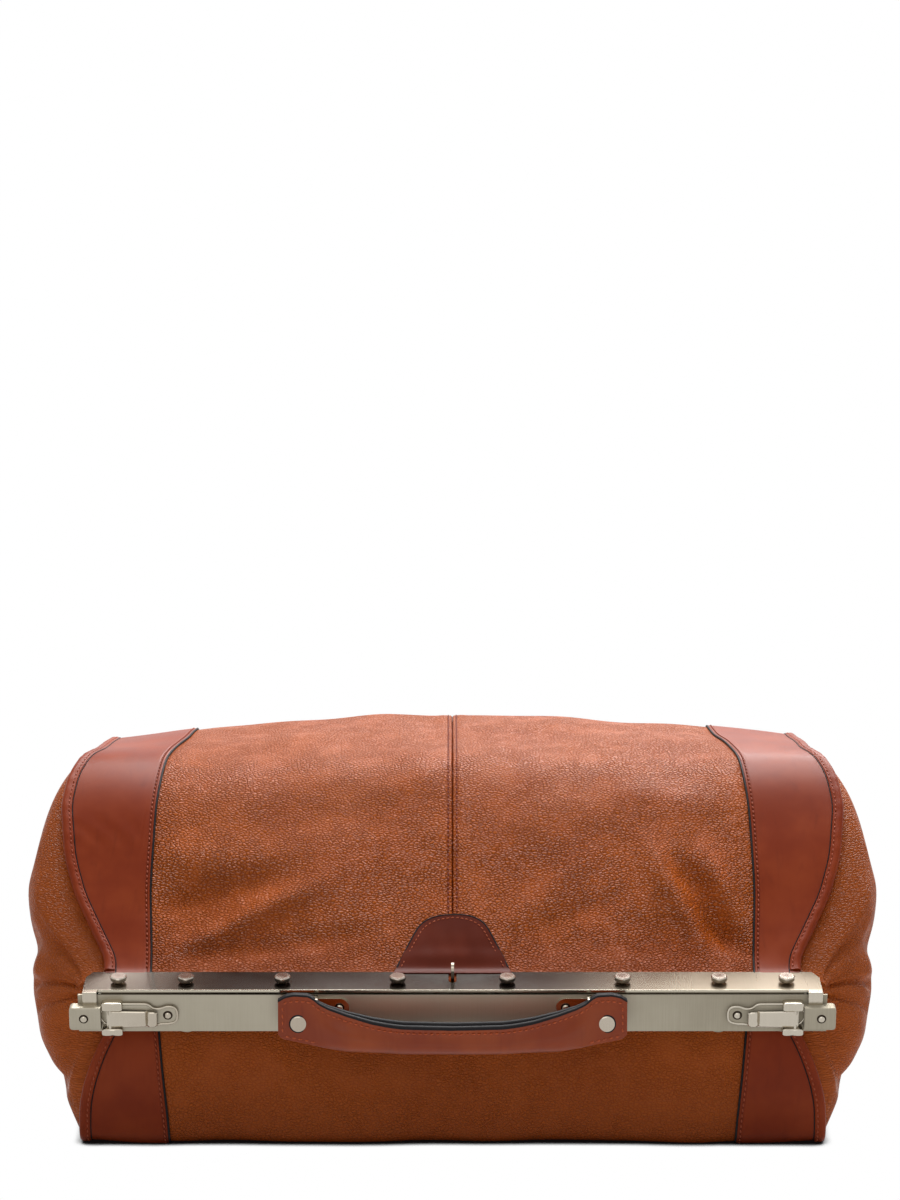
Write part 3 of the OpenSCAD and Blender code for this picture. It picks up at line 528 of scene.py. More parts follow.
# Depth, height, half width, crown, edge lift and band gap at each millimetre along the outline: lines,
# quarter circles and four-point curves set end to end, their corners eased by a moving average.
def makeOutline(b):
    t = np.linspace(0, 1, 60)
    r, foot, footRadius = b["cornerRadius"], b["foot"], b["footRadius"]
    ridge, edge = np.array(b["ridge"], float), np.array([b["depth"] - r, b["height"]], float)
    frontClamp, frontEdge = (framed(b[key], b["frontRise"]) for key in ("clampDepth", "flangeDepth"))
    rearClamp, rearEdge = (framed(b[key], b["rearRise"]) for key in ("clampDepth", "rearDepth"))
    wallFoot = np.array([foot - footRadius, footRadius], float)

    def corner(centre, radius, start):
        angle = np.radians(start - 90 * t)
        return np.array(centre) + radius * np.stack([np.cos(angle), np.sin(angle)], -1)

    def line(p, q):
        return mix(np.array(p, float), np.array(q, float), t[:, None])

    stretches = {
        "clamp": line(frontClamp, frontEdge),
        "slope": bezier([frontEdge, frontEdge + b["slopeLead"], ridge - b["ridgeLead"], ridge], t),
        "top": bezier([ridge, ridge + b["topLead"], edge - b["baseLead"], edge], t),
        "upperCorner": corner(edge - [0, r], r, 90),
        "base": line((b["depth"], b["height"] - r), (b["depth"], r)),
        "lowerCorner": corner((b["depth"] - r, r), r, 0),
        "floor": line((b["depth"] - r, 0), (foot, 0)),
        "rearCorner": corner((foot, footRadius), footRadius, -90),
        "wall": bezier([wallFoot, wallFoot + b["footLead"], rearEdge - b["rearLead"], rearEdge], t),
        "rearClamp": line(rearEdge, rearClamp)}
    # Crown and lift where the stretches meet
    crowns = [0, 0, b["crown"] * b["ridgeCrown"], b["crown"], b["crown"], 0, 0, 0, 0, 0, 0]
    lifts = [0, 0, 0, 0, 0, 0, b["lift"], b["lift"], 0, 0, 0]
    part = (np.arange(len(stretches))[:, None] + t).ravel()
    table = np.column_stack([np.vstack(list(stretches.values())), np.interp(part, range(11), crowns),
                             np.interp(part, range(11), lifts)])
    length = runAlong(table[:, :2])
    kept = np.r_[True, np.diff(length) > 1e-6]
    along = np.linspace(0, length[-1], int(length[-1]) + 1)
    depth, height, crown, lift = (np.interp(along, length[kept], column) for column in table[kept].T)
    side, band = (np.interp(along, *np.array(points, float).T) for points in (sideLine, bandLine))
    depth, height = smoothed(depth, 10), smoothed(height, 10)
    heading = unit(np.stack([np.gradient(depth), np.gradient(height)], -1))
    table = {"along": along, "depth": depth, "height": height, "side": smoothed(side, 24),
             "band": smoothed(band, 40), "crown": smoothed(crown, 40), "lift": smoothed(lift, 20),
             "headDepth": heading[:, 0], "headHeight": heading[:, 1]}
    return table, dict(zip(stretches, length[len(t) - 1::len(t)]))


outline, ends = makeOutline(bag)
outlineEnd = outline["along"][-1]
frontStart, frontEnd, closedEnd = 0.5, ends["upperCorner"] - 8, outlineEnd - 0.5
print("outline:", {key: round(float(value)) for key, value in ends.items()})


def at(s, key):
    return np.interp(s, outline["along"], outline[key])


# Folds of the leather: each row holds the distance along the outline and x of one end and of the other,
# the width and the height, which is negative for a valley
folds = [
    (30, -176, 76, -92, 9, 4.2), (62, -192, 88, -104, 11, -4.0), (20, -170, 44, -52, 9, -2.2),
    (98, -190, 104, -150, 14, 2.8), (118, -150, 140, -40, 17, -1.1), (148, -52, 172, -10, 14, 1.6),
    (96, 144, 44, 170, 9, -5.6), (50, 166, 20, 192, 7, -4.5), (112, 124, 34, 160, 9, 4.4),
    (104, 160, 50, 186, 8, 3.4), (150, 110, 136, 176, 16, 2.0), (50, 36, 104, 92, 9, 1.3),
    (44, 44, 74, 118, 7, -1.2), (120, 16, 150, 60, 14, -1.0), (60, 118, 96, 128, 12, 1.2),
    (176, 40, 180, 150, 16, 1.0), (288, -120, 288, -30, 30, 2.4)]
foldFade = (0.28, 0.56, 1.28, 0.56)    # where a fold starts and is full, ends and how fast, as shares of it
waves = [
    (0.021, 0.013, 0.4, 0.8), (-0.017, 0.029, 2.1, 0.6), (0.043, -0.011, 4.2, 0.45),
    (0.012, 0.047, 5.3, 0.35)]


# A Gaussian ridge around the line from (u0, v0) to (u1, v1), faded towards both of its ends.
def foldHeight(fold, u, v, fade):
    u0, v0, u1, v1, width, height = fold
    length = math.hypot(u1 - u0, v1 - v0)
    onU, onV = (u1 - u0) / length, (v1 - v0) / length
    along = ((u - u0) * onU + (v - v0) * onV) / length
    across = (u - u0) * onV - (v - v0) * onU
    faded = ease((along + fade[0]) / fade[1]) * ease((fade[2] - along) / fade[3])
    return height * hill(across, 0, width) * faded


# Height of the leather over its plain outline: folds, slow waves and gathers at the flange.
def relief(s, x):
    s, x = np.broadcast_arrays(s, x)
    free = ease((s - 13) / 26) * ease((outlineEnd - 13 - s) / 20)
    height = sum(foldHeight(fold, s, x, foldFade) for fold in folds)
    height = height + sum(tall * np.sin(2 * (s * a + x * b) + phase) for a, b, phase, tall in waves)
    gathers = np.sin(x * 0.46 + 1.3 * np.sin(x * 0.11)) * (0.25 + 0.35 * ease((x - 10) / 60))
    seat = ease((s - ends["lowerCorner"] + 12) / 12) * ease((ends["floor"] + 6 - s) / 12)
    onBand = 1 - 0.55 * ease((abs(x) - at(s, "band") + 22) / 26)
    return (height + gathers * hill(s, 30, 13)) * free * (1 - seat) * onBand


# Point of the bag's outer face: the outline at s, lowered by crown towards its sides, moved along the
# outline's normal by out and by the relief.
def skin(s, x, out):
    s, x, out = np.broadcast_arrays(np.asarray(s, float), x, out)
    v = x / at(s, "side")
    out = out + relief(s, x)
    y = mouthY + at(s, "depth") - at(s, "headHeight") * out
    z = at(s, "height") + at(s, "headDepth") * out - at(s, "crown") * v * (v - bag["slant"])
    return np.stack([x, y, z + at(s, "lift") * ease((abs(v) - 0.82) / 0.18)], -1)


# Grain UV of places on the bag's face.
def grainOf(s, x):
    return np.stack(np.broadcast_arrays(x / 100, s / 100), -1)


# Sheet on the bag's face at places s and x, from one height over it to another.
def leather(name, s, x, top, under, material, marks=None):
    return shell(name, skin(s, x, top), skin(s, x, under), material, grainOf(s, x), marks)


# Places from start to end about a step apart, with half-millimetre places up to fine.
def spread(start, end, step=3.0, fine=0):
    places = np.linspace(start, end, max(2, int(abs(end - start) / step) + 1))
    places = np.unique(np.round(np.r_[places, np.arange(start, fine, 0.55)], 3))
    kept = np.r_[True, np.diff(places) > 0.25]
    kept[-1] = True
    return places[kept]


# Leather panels

panel = {
    "step": 2.0, "evenTo": 12, "width": 186, "underBand": 5, "seamStitch": 2.75, "seamDip": 1.1,
    "seamPuff": 0.35, "under": 2.4}


# Two edges turned in and sewn: a narrow dip at the seam between two soft puffs, with a row of stitches
# pressed in on each side.
def seamShape(a):
    return -panel["seamDip"] * hill(a, 0, 0.55) + panel["seamPuff"] * hill(a, 6, 4) \
        - 0.25 * hill(a, panel["seamStitch"], 0.7)


# Half of the front: its x grows evenly near the seam and is stretched from there to the band.
def frontPanel(name, side):
    s, x = gridOf(spread(frontStart, frontEnd, panel["step"]), spread(0.06, panel["width"], panel["step"], 6))
    near = panel["evenTo"]
    reach = (at(s, "band") + panel["underBand"] - near) / (panel["width"] - near)
    x = np.minimum(x, near) + np.maximum(x - near, 0) * reach
    # marks paints shade: a dark line in the seam's dip, darker stitch grooves beside it, and shade on the leather
    # near the flange.
    marks = 0.95 * hill(x, 0, 0.55) + 0.45 * hill(x, panel["seamStitch"], 0.6) + 0.35 * ease((62 - s) / 46)
    return leather(name, s, side * x, seamShape(x), -panel["under"], (hide, lining), marks)


# Panel across the bag, from under one band to under the other.
def wholePanel(name, start, end):
    s, share = gridOf(spread(start, end, 4.0), np.linspace(-1, 1, 150))
    x = share * (at(s, "band") + panel["underBand"])
    return leather(name, s, x, 0, -panel["under"], (gussetHide, lining))


# Smooth bands, their painted edges and the bindings along the bag's sides

bandSet = {"thick": 1.5, "lowest": -2.4, "stitchIn": 2.6, "bead": 0.75, "outerBead": 0.4, "creases": 0.16}
bindingSet = {"width": 6.2, "stitch": 4.4, "stitchOver": 2.15}


# How far from the middle the band's stitches run.
def bandStitch(s):
    return at(s, "band") + bandSet["stitchIn"]


# Sheet from the band's inner edge to the bag's side, rounded at the edge and pressed in under the stitches.
def band(name, side, start, end):
    s, share = gridOf(spread(start, end), np.unique(np.r_[np.linspace(0, 1, 22), np.linspace(0, 0.14, 16)]))
    a = mix(at(s, "band"), at(s, "side") - 0.3, share)
    row = a - bandStitch(s)
    creases = bandSet["creases"] * np.sin(a * 1.9 + s * 0.21) * hill(s, 118, 12) * (side < 0)
    top = bandSet["thick"] - 0.8 * hill(a, at(s, "band"), 0.7) - 0.4 * hill(row, 0, 0.8) + creases
    # marks paints shade in the stitch groove and on the band beside the binding.
    marks = 0.85 * hill(row, 0, 0.75) + 0.5 * ease((a - at(s, "side") + 9) / 5)
    under = np.where(a < at(s, "band") + 6, 0.12, bandSet["lowest"])
    return leather(name, s, side * a, top, under, bandHide, marks)


# Oval rod on the leather along x(s), from one height over the face to another.
def bead(name, s, x, low, high, width):
    angle = circle(10)
    out = mix(low, high, 0.5) + (high - low) / 2 * np.sin(angle)
    return tube(name, skin(s[:, None], x[:, None] + width * np.cos(angle), out), edgePaint)


# Beads along the band's inner edge and along the binding.
def bandEdge(name, side, start, end):
    s, thick = spread(start, end), bandSet["thick"]
    outerX = side * (at(s, "side") - bindingSet["width"] - 0.35)
    return joined([bead(name, s, side * at(s, "band"), -0.2, thick + 0.1, bandSet["bead"]),
                   bead(name + "Outer", s, outerX, 0.4, thick + 0.45, bandSet["outerBead"])])


# Section of the binding: places across it from the bag's side inwards, and heights over the leather
bindingProfile = np.array([
    (-6.2, 1.35), (-5.9, 2.0), (-4.9, 2.35), (-4.4, 2.1), (-3.9, 2.4), (-2.4, 2.75), (-1.0, 2.7),
    (0.1, 2.2), (0.75, 1.2), (0.95, 0.0), (0.8, -1.2), (0.4, -2.4), (-0.3, -3.3), (-1.6, -3.6),
    (-2.4, -3.2), (-1.6, -2.0), (-1.2, -0.4), (-2.4, 1.0), (-4.4, 1.4)])


# The section carried along the bag's side, with a slight ripple of its upper face.
def binding(name, side, start, end):
    s = spread(start, end)[:, None]
    ripple = 0.12 * np.sin(s * 0.55) + 0.08 * np.sin(s * 1.3 + 1)
    across, over = bindingProfile.T
    x = side * (at(s, "side") + across)
    return tube(name, skin(s, x, over + ripple * (over > 1.5)), bandHide, grainOf(s + over, x), sharp=60)


# Gussets between the front and the rear leather at both ends of the bag

gussetSet = {
    "mouthBulge": 20, "baseBulge": 3, "bellyBulge": 15, "under": 2.6, "thick": 2.4, "puckers": 1.1,
    "lift": 0.8, "inset": 0.4}
gussetShares = np.array([0, 4, 6, 7, 12, 15]) / 15
gussetFront = [
    ends["clamp"] + 0.3, mix(ends["clamp"], ends["slope"], 4 / 6), ends["slope"],
    mix(ends["slope"], ends["top"], 1 / 6), ends["top"], ends["upperCorner"]]
gussetRear = [
    ends["wall"] - 0.3, ends["rearCorner"], mix(ends["rearCorner"], ends["floor"], 0.67), ends["floor"],
    ends["lowerCorner"], ends["base"]]
gussetSteps = np.linspace(0, 1, 151)
gussetLines = [smoothed(np.interp(gussetSteps, gussetShares, line), 24) for line in (gussetFront, gussetRear)]

# Folds as above, but with shares from the mouth to the base and from the front edge to the rear one
gussetFolds = [
    (0.04, 0.16, 0.36, 0.54, 0.044, -5.4), (0.05, 0.04, 0.42, 0.36, 0.05, 2.4),
    (0.03, 0.45, 0.27, 0.55, 0.02, -4.6), (0.03, 0.58, 0.24, 0.62, 0.02, -3.4),
    (0.04, 0.7, 0.4, 0.74, 0.05, 1.6), (0.03, 0.9, 0.4, 0.84, 0.036, -7.0),
    (0.42, 0.45, 0.85, 0.62, 0.08, -2.4), (0.4, 0.75, 0.8, 0.85, 0.09, 2.0)]
gussetFade = (0.1, 0.3, 1.15, 0.35)


# Puckers that spread from the frame's end, deep folds beside the bindings and slow waves.
def gussetRelief(w, t):
    fan = hill(w, 0, 0.22) * ease(w / 0.02)
    coarse, fine = np.sin(38 * t + 2.2 * np.sin(5 * t) + 3 * w), np.sin(71 * t + 1.1 + 9 * w)
    puckers = gussetSet["puckers"] * (coarse + 0.6 * fine * np.exp(-w / 0.1)) * fan
    deep = sum(foldHeight(fold, w, t, gussetFade) for fold in gussetFolds)
    slow = 0.9 * np.sin(9 * t + 7 * w) + 0.6 * np.sin(17 * w - 6 * t)
    return (4 * t * (1 - t)) ** 0.5 * (puckers + deep + slow)


# A straight line from under the front edge to under the rear edge, bulged sideways by a parabola.
def gussetPoint(w, t, out):
    w, t, out = np.broadcast_arrays(np.asarray(w, float), t, out)
    p, q = (skin(s, at(s, "side") - gussetSet["inset"], -gussetSet["under"])
            for s in (np.interp(w, gussetSteps, line) for line in gussetLines))
    bulge = mix(gussetSet["mouthBulge"], gussetSet["baseBulge"], w)
    bulge = bulge + gussetSet["bellyBulge"] * np.sin(math.pi * w)
    point = mix(p, q, t[..., None])
    high = t ** gussetSet["lift"]
    point[..., 0] += bulge * (4 * high * (1 - high)) ** 0.85 + out + gussetRelief(w, t)
    return point


# Share at which the gusset crosses the middle plane between the jaws.
def gussetMiddle(w):
    front, rear = ((p[..., 2] - mouthHeight) * deepWay[0] - (p[..., 1] - mouthY) * deepWay[1]
                   for p in (gussetPoint(w, 0.0, 0), gussetPoint(w, 1.0, 0)))
    return front / (front - rear)


# One half of a gusset, from the middle plane to the front edge or to the rear one.
def gusset(name, side, edge):
    w, share = gridOf(np.linspace(0, 1, 160), np.linspace(0, 1, 60))
    t = mix(gussetMiddle(w), edge, share)
    outer, inner = gussetPoint(w, t, 0), gussetPoint(w, t, -gussetSet["thick"])
    grain = np.stack([runAlong(outer) / 100 + 7, (2 * edge - 1) * runAlong(outer, 1) / 100], -1)
    mirror = np.array([side, 1, 1])
    return shell(name, outer * mirror, inner * mirror, (gussetHide, lining), grain)


# The pleat joins the two halves of a gusset from the mouth to the hinge. It is tucked in beside the frame's legs,
# as while the jaws are shut, and is meant to close the mouth's end when they open, which the script doesn't apply.
pleatSet = {"reach": 0.46, "spread": 1.1, "innerX": 229, "thick": 1.1}


# Point of the pleat's line at w: where the gusset crosses the middle plane, half way through its leather.
def pleatLine(w):
    return gussetPoint(w, gussetMiddle(w), -gussetSet["thick"] / 2)


# The line spread across the middle plane by turn, and tucked in by a parabola of turn.
def pleat(name, side):
    w, turn = gridOf(np.linspace(0, pleatSet["reach"], 60), np.linspace(-1, 1, 21))
    line = pleatLine(w)
    tuck = np.maximum(line[..., 0] - pleatSet["innerX"], 0) * ease((pleatSet["reach"] - w) / 0.12)
    x = line[..., 0] - tuck * (1 - turn ** 2)
    outer = line + pleatSet["spread"] * turn[..., None] * np.array([0, *riseWay])
    inner = outer.copy()
    outer[..., 0], inner[..., 0] = side * x, side * (x - pleatSet["thick"])
    opened = (1 - w / pleatSet["reach"]) * (hingeDepth - bag["clampDepth"]) * ease((turn + 1) / 2)
    return shell(name, outer, inner, (gussetHide, lining), grainOf(w * 220, tuck * turn * abs(turn) + opened))


liningSet = {"start": 12.5, "under": 4.4, "thick": 0.8, "inset": 8, "slack": 0.5}


# Lining inside the leather, slack in slow waves. Its flat size and area in metres come with it.
def liningSheet(name, start, end):
    s, share = gridOf(spread(start, end), np.linspace(-1, 1, 120))
    x = share * (at(s, "side") - liningSet["inset"])
    slack = liningSet["slack"] * np.sin(s * 0.16 + x * 0.05) * ease((abs(x) - 40) / 60)
    out = -liningSet["under"] - abs(slack)
    sheet = leather(name, s, x, out, out - liningSet["thick"], lining)
    points = skin(s, x, out) / 1000
    corners = np.cross(np.diff(points, axis=1)[:-1], np.diff(points, axis=0)[:, :-1])
    flat = (runAlong(points, 1).max(), runAlong(points).max())
    return sheet, {"flat": flat, "area": np.linalg.norm(corners, axis=-1).sum(), "held": "stretched"}


# Stitches

stitchSet = {"pitch": 3.5, "length": 2.2, "width": 1.0, "slant": 0.12}
tabStitch = {"pitch": 3.0, "length": 2.0, "width": 0.7}
handleStitch = {"pitch": 3.6, "length": 2.4, "width": 1.15}


# Capsules along a path: seven rings of six points, thin at both ends where the thread dives.
def stitchRow(name, path, normals, material, **size):
    p = dict(stitchSet, **size)
    step = runAlong(path)
    count = max(2, int(step[-1] / p["pitch"]))
    places = (np.arange(count) + 0.5) * step[-1] / count

    def along(values, where):
        return np.stack([np.interp(where, step, v) for v in values.T], -1)

    forward = unit(along(path, places + 0.5) - along(path, places - 0.5))
    normal = unit(along(normals, places))
    across = np.cross(normal, forward)
    u, angle = gridOf([-1, -0.82, -0.45, 0, 0.45, 0.82, 1], circle(6))
    thick = np.sqrt(np.clip(1.06 - u * u, 0, 1)) * p["width"] / 2
    shape = (u * p["length"] / 2, thick * np.cos(angle), thick * np.sin(angle) * 0.8 + 0.25 * (1 - u * u))
    points = along(path, places)[:, None] + sum(
        way[:, None] * amount.reshape(-1, 1)
        for way, amount in zip((forward + p["slant"] * across, across, normal), shape))
    return makeMesh(name, points.reshape(-1, 3), copiedFaces(count, 7, 6), material, sharp=80)


# A row of stitches on the bag's face, along x(s) at a height over the leather.
def skinRow(name, s, x, out, material, **size):
    path = skin(s, x, out)
    return stitchRow(name, path, skin(s, x, out + 1) - path, material, **size)


# Ends of the front leather's blend, from the opening jaw at the flange to the bag from the ridge on, as far apart
# as they can be so that the leather doesn't turn inside out. The script applies no blend and only bakes the
# pieces' transforms.
frontBend = [Vector((0, mouthY + y, z)) / 1000 for y, z in ((187.9, 68.4), (56.4, 20.5))]


# Start and end of the pleat's blend: the same as the leather's on its front edge, and 0 on its rear edge.
def pleatBend(bendStart, bendEnd):
    along, up = Vector((0, *deepWay)), Vector((0, *riseWay))
    way = bendEnd - bendStart
    grow = way / way.length_squared
    mouthEnd = Vector((0, *pleatLine(np.array(0.0))[1:])) / 1000
    wide = pleatSet["spread"] / 1000
    slope = along * grow.dot(along) + up * ((mouthEnd - bendStart).dot(grow) / (2 * wide))
    start = mouthEnd - up * wide
    return start, start + slope / slope.length_squared


# Attach a piece to its body, or only bake its transform when it is given a blend's ends, and hide the frame's
# nodes that it stands for.
def keep(piece, body, *nodes):
    if isinstance(body, str):
        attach(piece, body)
    else:
        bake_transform(piece)
    if nodes:
        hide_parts(*nodes)


stitchFrom, baseEnd = 15.5, ends["lowerCorner"] - 4
halves = (("front", frontBend, "_fold_", frontStart, frontEnd), ("rear", "bag", "_", frontEnd, closedEnd))
for word, side in sides.items():
    name = word.capitalize()
    keep(frontPanel("frontPanel" + name, side), frontBend, "front_panel_" + word, "front_fold_" + word)
    keep(gusset("gussetUpper" + name, side, 0), frontBend, "gusset_fold_" + word)
    keep(gusset("gussetLower" + name, side, 1), "bag", "gusset_" + word)
    keep(pleat("pleat" + name, side), pleatBend(*frontBend), "gusset_pleat_" + word)
    for half, body, tail, start, end in halves:
        keep(band(half + "Band" + name, side, start, end), body, "band" + tail + word)
        keep(bandEdge(half + "BandEdge" + name, side, start, end), body)
        low, high = max(start, ends["clamp"] + 1.5), min(end, ends["wall"] - 3)
        keep(binding(half + "Binding" + name, side, low, high), body, "binding" + tail + word)
        s = spread(max(start, stitchFrom), min(end, ends["wall"] - 4))
        for kind, x, over in (("Band", bandStitch(s), bandSet["thick"] - 0.15),
                              ("Binding", at(s, "side") - bindingSet["stitch"], bindingSet["stitchOver"])):
            keep(skinRow(half + kind + "Stitches" + name, s, side * x, over, thread), body)
    s = spread(stitchFrom, frontEnd)
    keep(skinRow("seamStitches" + name, s, side * panel["seamStitch"] + 0 * s, 0, seamThread), frontBend)

keep(wholePanel("basePanel", frontEnd, baseEnd), "bag", "base_panel")
keep(wholePanel("rearPanel", baseEnd, closedEnd), "bag", "rear_panel")
sheet, cut = liningSheet("liningFront", liningSet["start"], frontEnd)
keep(sheet, frontBend, "lining_fold")
sheet, cut = liningSheet("liningRear", frontEnd, ends["wall"])
keep(sheet, "bag", "lining")
print("leather made")

# Tab behind the staple

tabSet = {
    "width": 74.4, "tip": 35, "length": 46.6, "roundFrom": 0.7, "thick": 2.0, "stitchIn": 2.6, "start": 9,
    "over": 0.2, "edgeWidth": 0.75, "edgeHeight": 1.15}


# Half width at a share of the length: straight flanks that lean in, then an elliptic end.
def tabHalf(q):
    lean = mix(tabSet["width"], tabSet["tip"], q ** 1.15) / 2
    rounding = (np.clip(q - tabSet["roundFrom"], 0, 1) / (1 - tabSet["roundFrom"])) ** 3.4
    return lean * np.clip(1 - rounding, 0, 1) ** 0.385


# Sheet over those half widths, swollen across its middle, which bridges the leather's valleys.
def makeTab():
    q = 1 - (1 - np.linspace(0, 1, 48)) ** 1.6
    q[-1] = 0.9995
    q, share = gridOf(q, np.sin(np.linspace(-math.pi / 2, math.pi / 2, 40)))
    s, x = tabSet["start"] + q * tabSet["length"], tabHalf(q) * share
    bridge = np.maximum(0, -relief(s, x) * 0.6)
    swell = (0.8 * hill(s, 24, 6) - 0.5 * hill(s, 16, 5)) * (1 - share * share * 0.5) + tabSet["over"]
    outer, inner = skin(s, x, tabSet["thick"] + bridge + swell), skin(s, x, 0.1 + swell)
    return shell("tab", outer, inner, tabHide, grainOf(s, x + 40))


# Path round the tab at an inset from its rim: up one flank, round the end and down the other.
def rimPath(inset):
    q = np.r_[np.linspace(0.15, 0.9, 30), 1 - 0.1 * (1 - np.linspace(0, 1, 12)[1:]) ** 2]
    s = tabSet["start"] + q * (tabSet["length"] - inset)
    width = np.maximum(tabHalf(q) - inset, 0)
    return np.r_[s, s[-2::-1]], np.r_[-width, width[-2::-1]]


# Painted rod along the rim.
def tabEdge():
    s, x = rimPath(0.15)
    middle = skin(s, x, tabSet["thick"] * 0.55 + tabSet["over"])
    outwards = unit(skin(s, x, 3) - skin(s, x, 0))
    aside = np.cross(unit(np.gradient(middle, axis=0)), outwards)
    sections = rod(middle, aside, outwards, tabSet["edgeWidth"], tabSet["edgeHeight"], 10)
    return tube("tabEdge", sections, edgePaint)


keep(makeTab(), frontBend, "padlock_tab")
keep(tabEdge(), frontBend)
s, x = rimPath(tabSet["stitchIn"])
keep(skinRow("tabStitches", s, x, tabSet["thick"] + 0.1, brightThread, **tabStitch), frontBend)

# Metal pieces from the frame, with their edges eased by bevels of these widths

dressSet = {
    "front_jaw": (flangeNickel, 0.45), "rear_jaw": (nickel, 0.4), "catch_tongues": (polished, 0.3),
    "padlock_staple": (polished, 0.5), "catch_pin_left": (polished, 0.3),
    "catch_pin_right": (polished, 0.3), "handle_saddle_left": (polished, 0.6),
    "handle_saddle_right": (polished, 0.6), "base_feet": (nickel, 0.5)}


# A copy of the frame's piece, merged into whole faces, with a narrow rounded bevel on every edge.
def dressed(node, finish, width):
    words = node.split("_")
    name = words[0] + "".join(w.capitalize() for w in words[1:])
    mesh = frame["nodes"][node].data.copy()
    mesh.name = name
    work = bmesh.new()
    work.from_mesh(mesh)
    bmesh.ops.remove_doubles(work, verts=work.verts, dist=1e-6)
    bmesh.ops.dissolve_limit(work, angle_limit=math.radians(1.0), verts=work.verts, edges=work.edges)
    work.to_mesh(mesh)
    work.free()
    mesh.materials.clear()
    mesh.materials.append(finish)
    mesh.shade_smooth()
    mesh.set_sharp_from_angle(angle=math.radians(25))
    piece = addObject(name, mesh)
    bevel = piece.modifiers.new("easedEdges", "BEVEL")
    bevel.width = width / 1000
    bevel.segments = 2
    bevel.limit_method = "ANGLE"
    bevel.angle_limit = math.radians(40)
    bevel.harden_normals = True
    keep(piece, bodyOf[node], node)


# Solids of revolution: the profile's radii and heights turned about an axis that points along the frame's
# rise, forward from the plate or straight forward, one at each place.
def turned(name, profile, places, along, material, sides=36):
    angle = circle(sides)
    radius, height = np.array(profile, float).T[..., None]
    c, s, h = radius * np.cos(angle), radius * np.sin(angle), height + 0 * angle
    x, depth, rise = (c, s, h) if along == "rise" else (c, -h, s)
    points = []
    for px, pd, pr in places:
        place = (px + x, pd + depth, pr + rise)
        points.append((np.stack(place, -1) if along == "forward" else inFrame(*place)).reshape(-1, 3))
    faces = copiedFaces(len(places), len(profile), sides)
    return makeMesh(name, np.vstack(points), faces, material, sharp=28)


studSet = {"x": [34.1, 105.8, 165.8, 207.8], "depth": 12.6, "top": 15.1}
studProfile = [
    (0, -4.6), (2.9, -4.6), (3.0, -3.9), (2.2, -3.8), (2.2, -0.2), (2.9, 0.0), (2.5, 0.3), (2.3, 0.7),
    (2.3, 1.2), (4.5, 1.35), (4.95, 1.75), (5.05, 2.4), (5.05, 3.9), (4.9, 4.1), (4.45, 4.55), (0, 4.6)]
domeProfile = [
    (0, -1.2), (1.45, -1.2), (2.05, 0.0), (2.1, 0.35), (1.95, 0.85), (1.5, 1.3), (0.8, 1.6), (0, 1.7)]
domeSeat = [(0, -0.3), (2.95, -0.3), (3.0, 0.05), (2.75, 0.22), (0, 0.2)]
discProfile = [
    (0, -3.6), (1.6, -3.6), (1.6, -0.2), (4.9, -0.2), (5.0, 0.15), (4.85, 0.65), (4.4, 0.95), (3.6, 1.05),
    (0, 1.15)]
discSeat = [(0, -0.35), (5.7, -0.35), (5.75, -0.05), (5.45, 0.1), (0, 0.1)]

places = [(side * x, studSet["depth"], studSet["top"]) for x in studSet["x"] for side in sides.values()]
keep(turned("frontStuds", studProfile, places, "rise", studNickel), "opening_side", "front_studs")
for node, (finish, width) in dressSet.items():
    dressed(node, finish, width)

# Catches, in x and rise along the plate: a base with a rolled edge, a housing for the tongue, two ears and
# a lever. The lever turns between the ears.
catchSet = {
    "housing": (217.4, 237, -8.5, 6.6), "housingDepth": 7.2, "ear": (204.2, 217.2), "earTop": (3.6, 9.3),
    "earLow": (-12.9, -8.15), "earDepth": 6.2, "baseDepth": 1.7, "rivets": (228, 176.4), "rivetRise": -0.7,
    "corner": 5, "roll": 0.75}
leverSet = {
    "from": 214.0, "to": 182.8, "rise": (-7.9, 3.2), "thick": 1.2, "height": 4.1, "arch": 1.7, "lip": 1.1,
    "groove": 1.0, "lowest": 1.9}
saddleSet = {"x": 70, "rise": 4.5, "face": 1.6}
catchBase = [
    (218, -8.4), (190, -8.2), (185, -7.4), (181, -6.6), (176.4, -6.6), (171.2, -5.2), (170.4, -0.6),
    (171.2, 4.2), (176.4, 5.4), (181.5, 3.4), (185.5, 3.6), (188.5, 6.7), (194, 6.8), (218, 6.8)]


# Corners of a closed outline cut by Chaikin's rule, a quarter from each end of each side.
def rounded(points, rounds=3):
    points = np.array(points, float)
    for _ in range(rounds):
        after = np.roll(points, -1, axis=0)
        points = np.stack([0.75 * points + 0.25 * after, 0.25 * points + 0.75 * after], 1).reshape(-1, 2)
    return points


# Outline in x and rise, pushed out from the plate by a depth, with a domed front when swell isn't 0.
def slab(name, side, outline, depth, material, soft, swell=0.0):
    middle = outline.mean(axis=0)
    levels = [(1.0, 0.1), (1.0, soft - depth), (0.985, 0.55 * soft - depth), (0.95, 0.18 * soft - depth),
              (0.88, -depth), (0.6, -depth - 0.7 * swell), (0.25, -depth - swell)]
    rings = []
    for share, level in levels:
        place = outline + unit(middle - outline) * (1 - share) * soft * 8
        if share < 0.8:
            place = middle + (outline - middle) * share
        rings.append(inFrame(side * place[:, 0], level, place[:, 1]))
    return tube(name, np.stack(rings), material, sharp=50)


# Round rod along a closed outline, on a face at a depth from the plate.
def rolledEdge(name, side, outline, depth, radius, material):
    onward = unit(np.roll(outline, -1, axis=0) - np.roll(outline, 1, axis=0))
    aside = np.stack([onward[:, 1], -onward[:, 0]], -1)
    angle = circle(10)
    across = outline[:, None] + aside[:, None] * (radius * np.cos(angle))[:, None]
    points = inFrame(side * across[..., 0], -depth - 0.8 * radius * np.sin(angle), across[..., 1])
    return tube(name, points, material, ring=True, sharp=60)


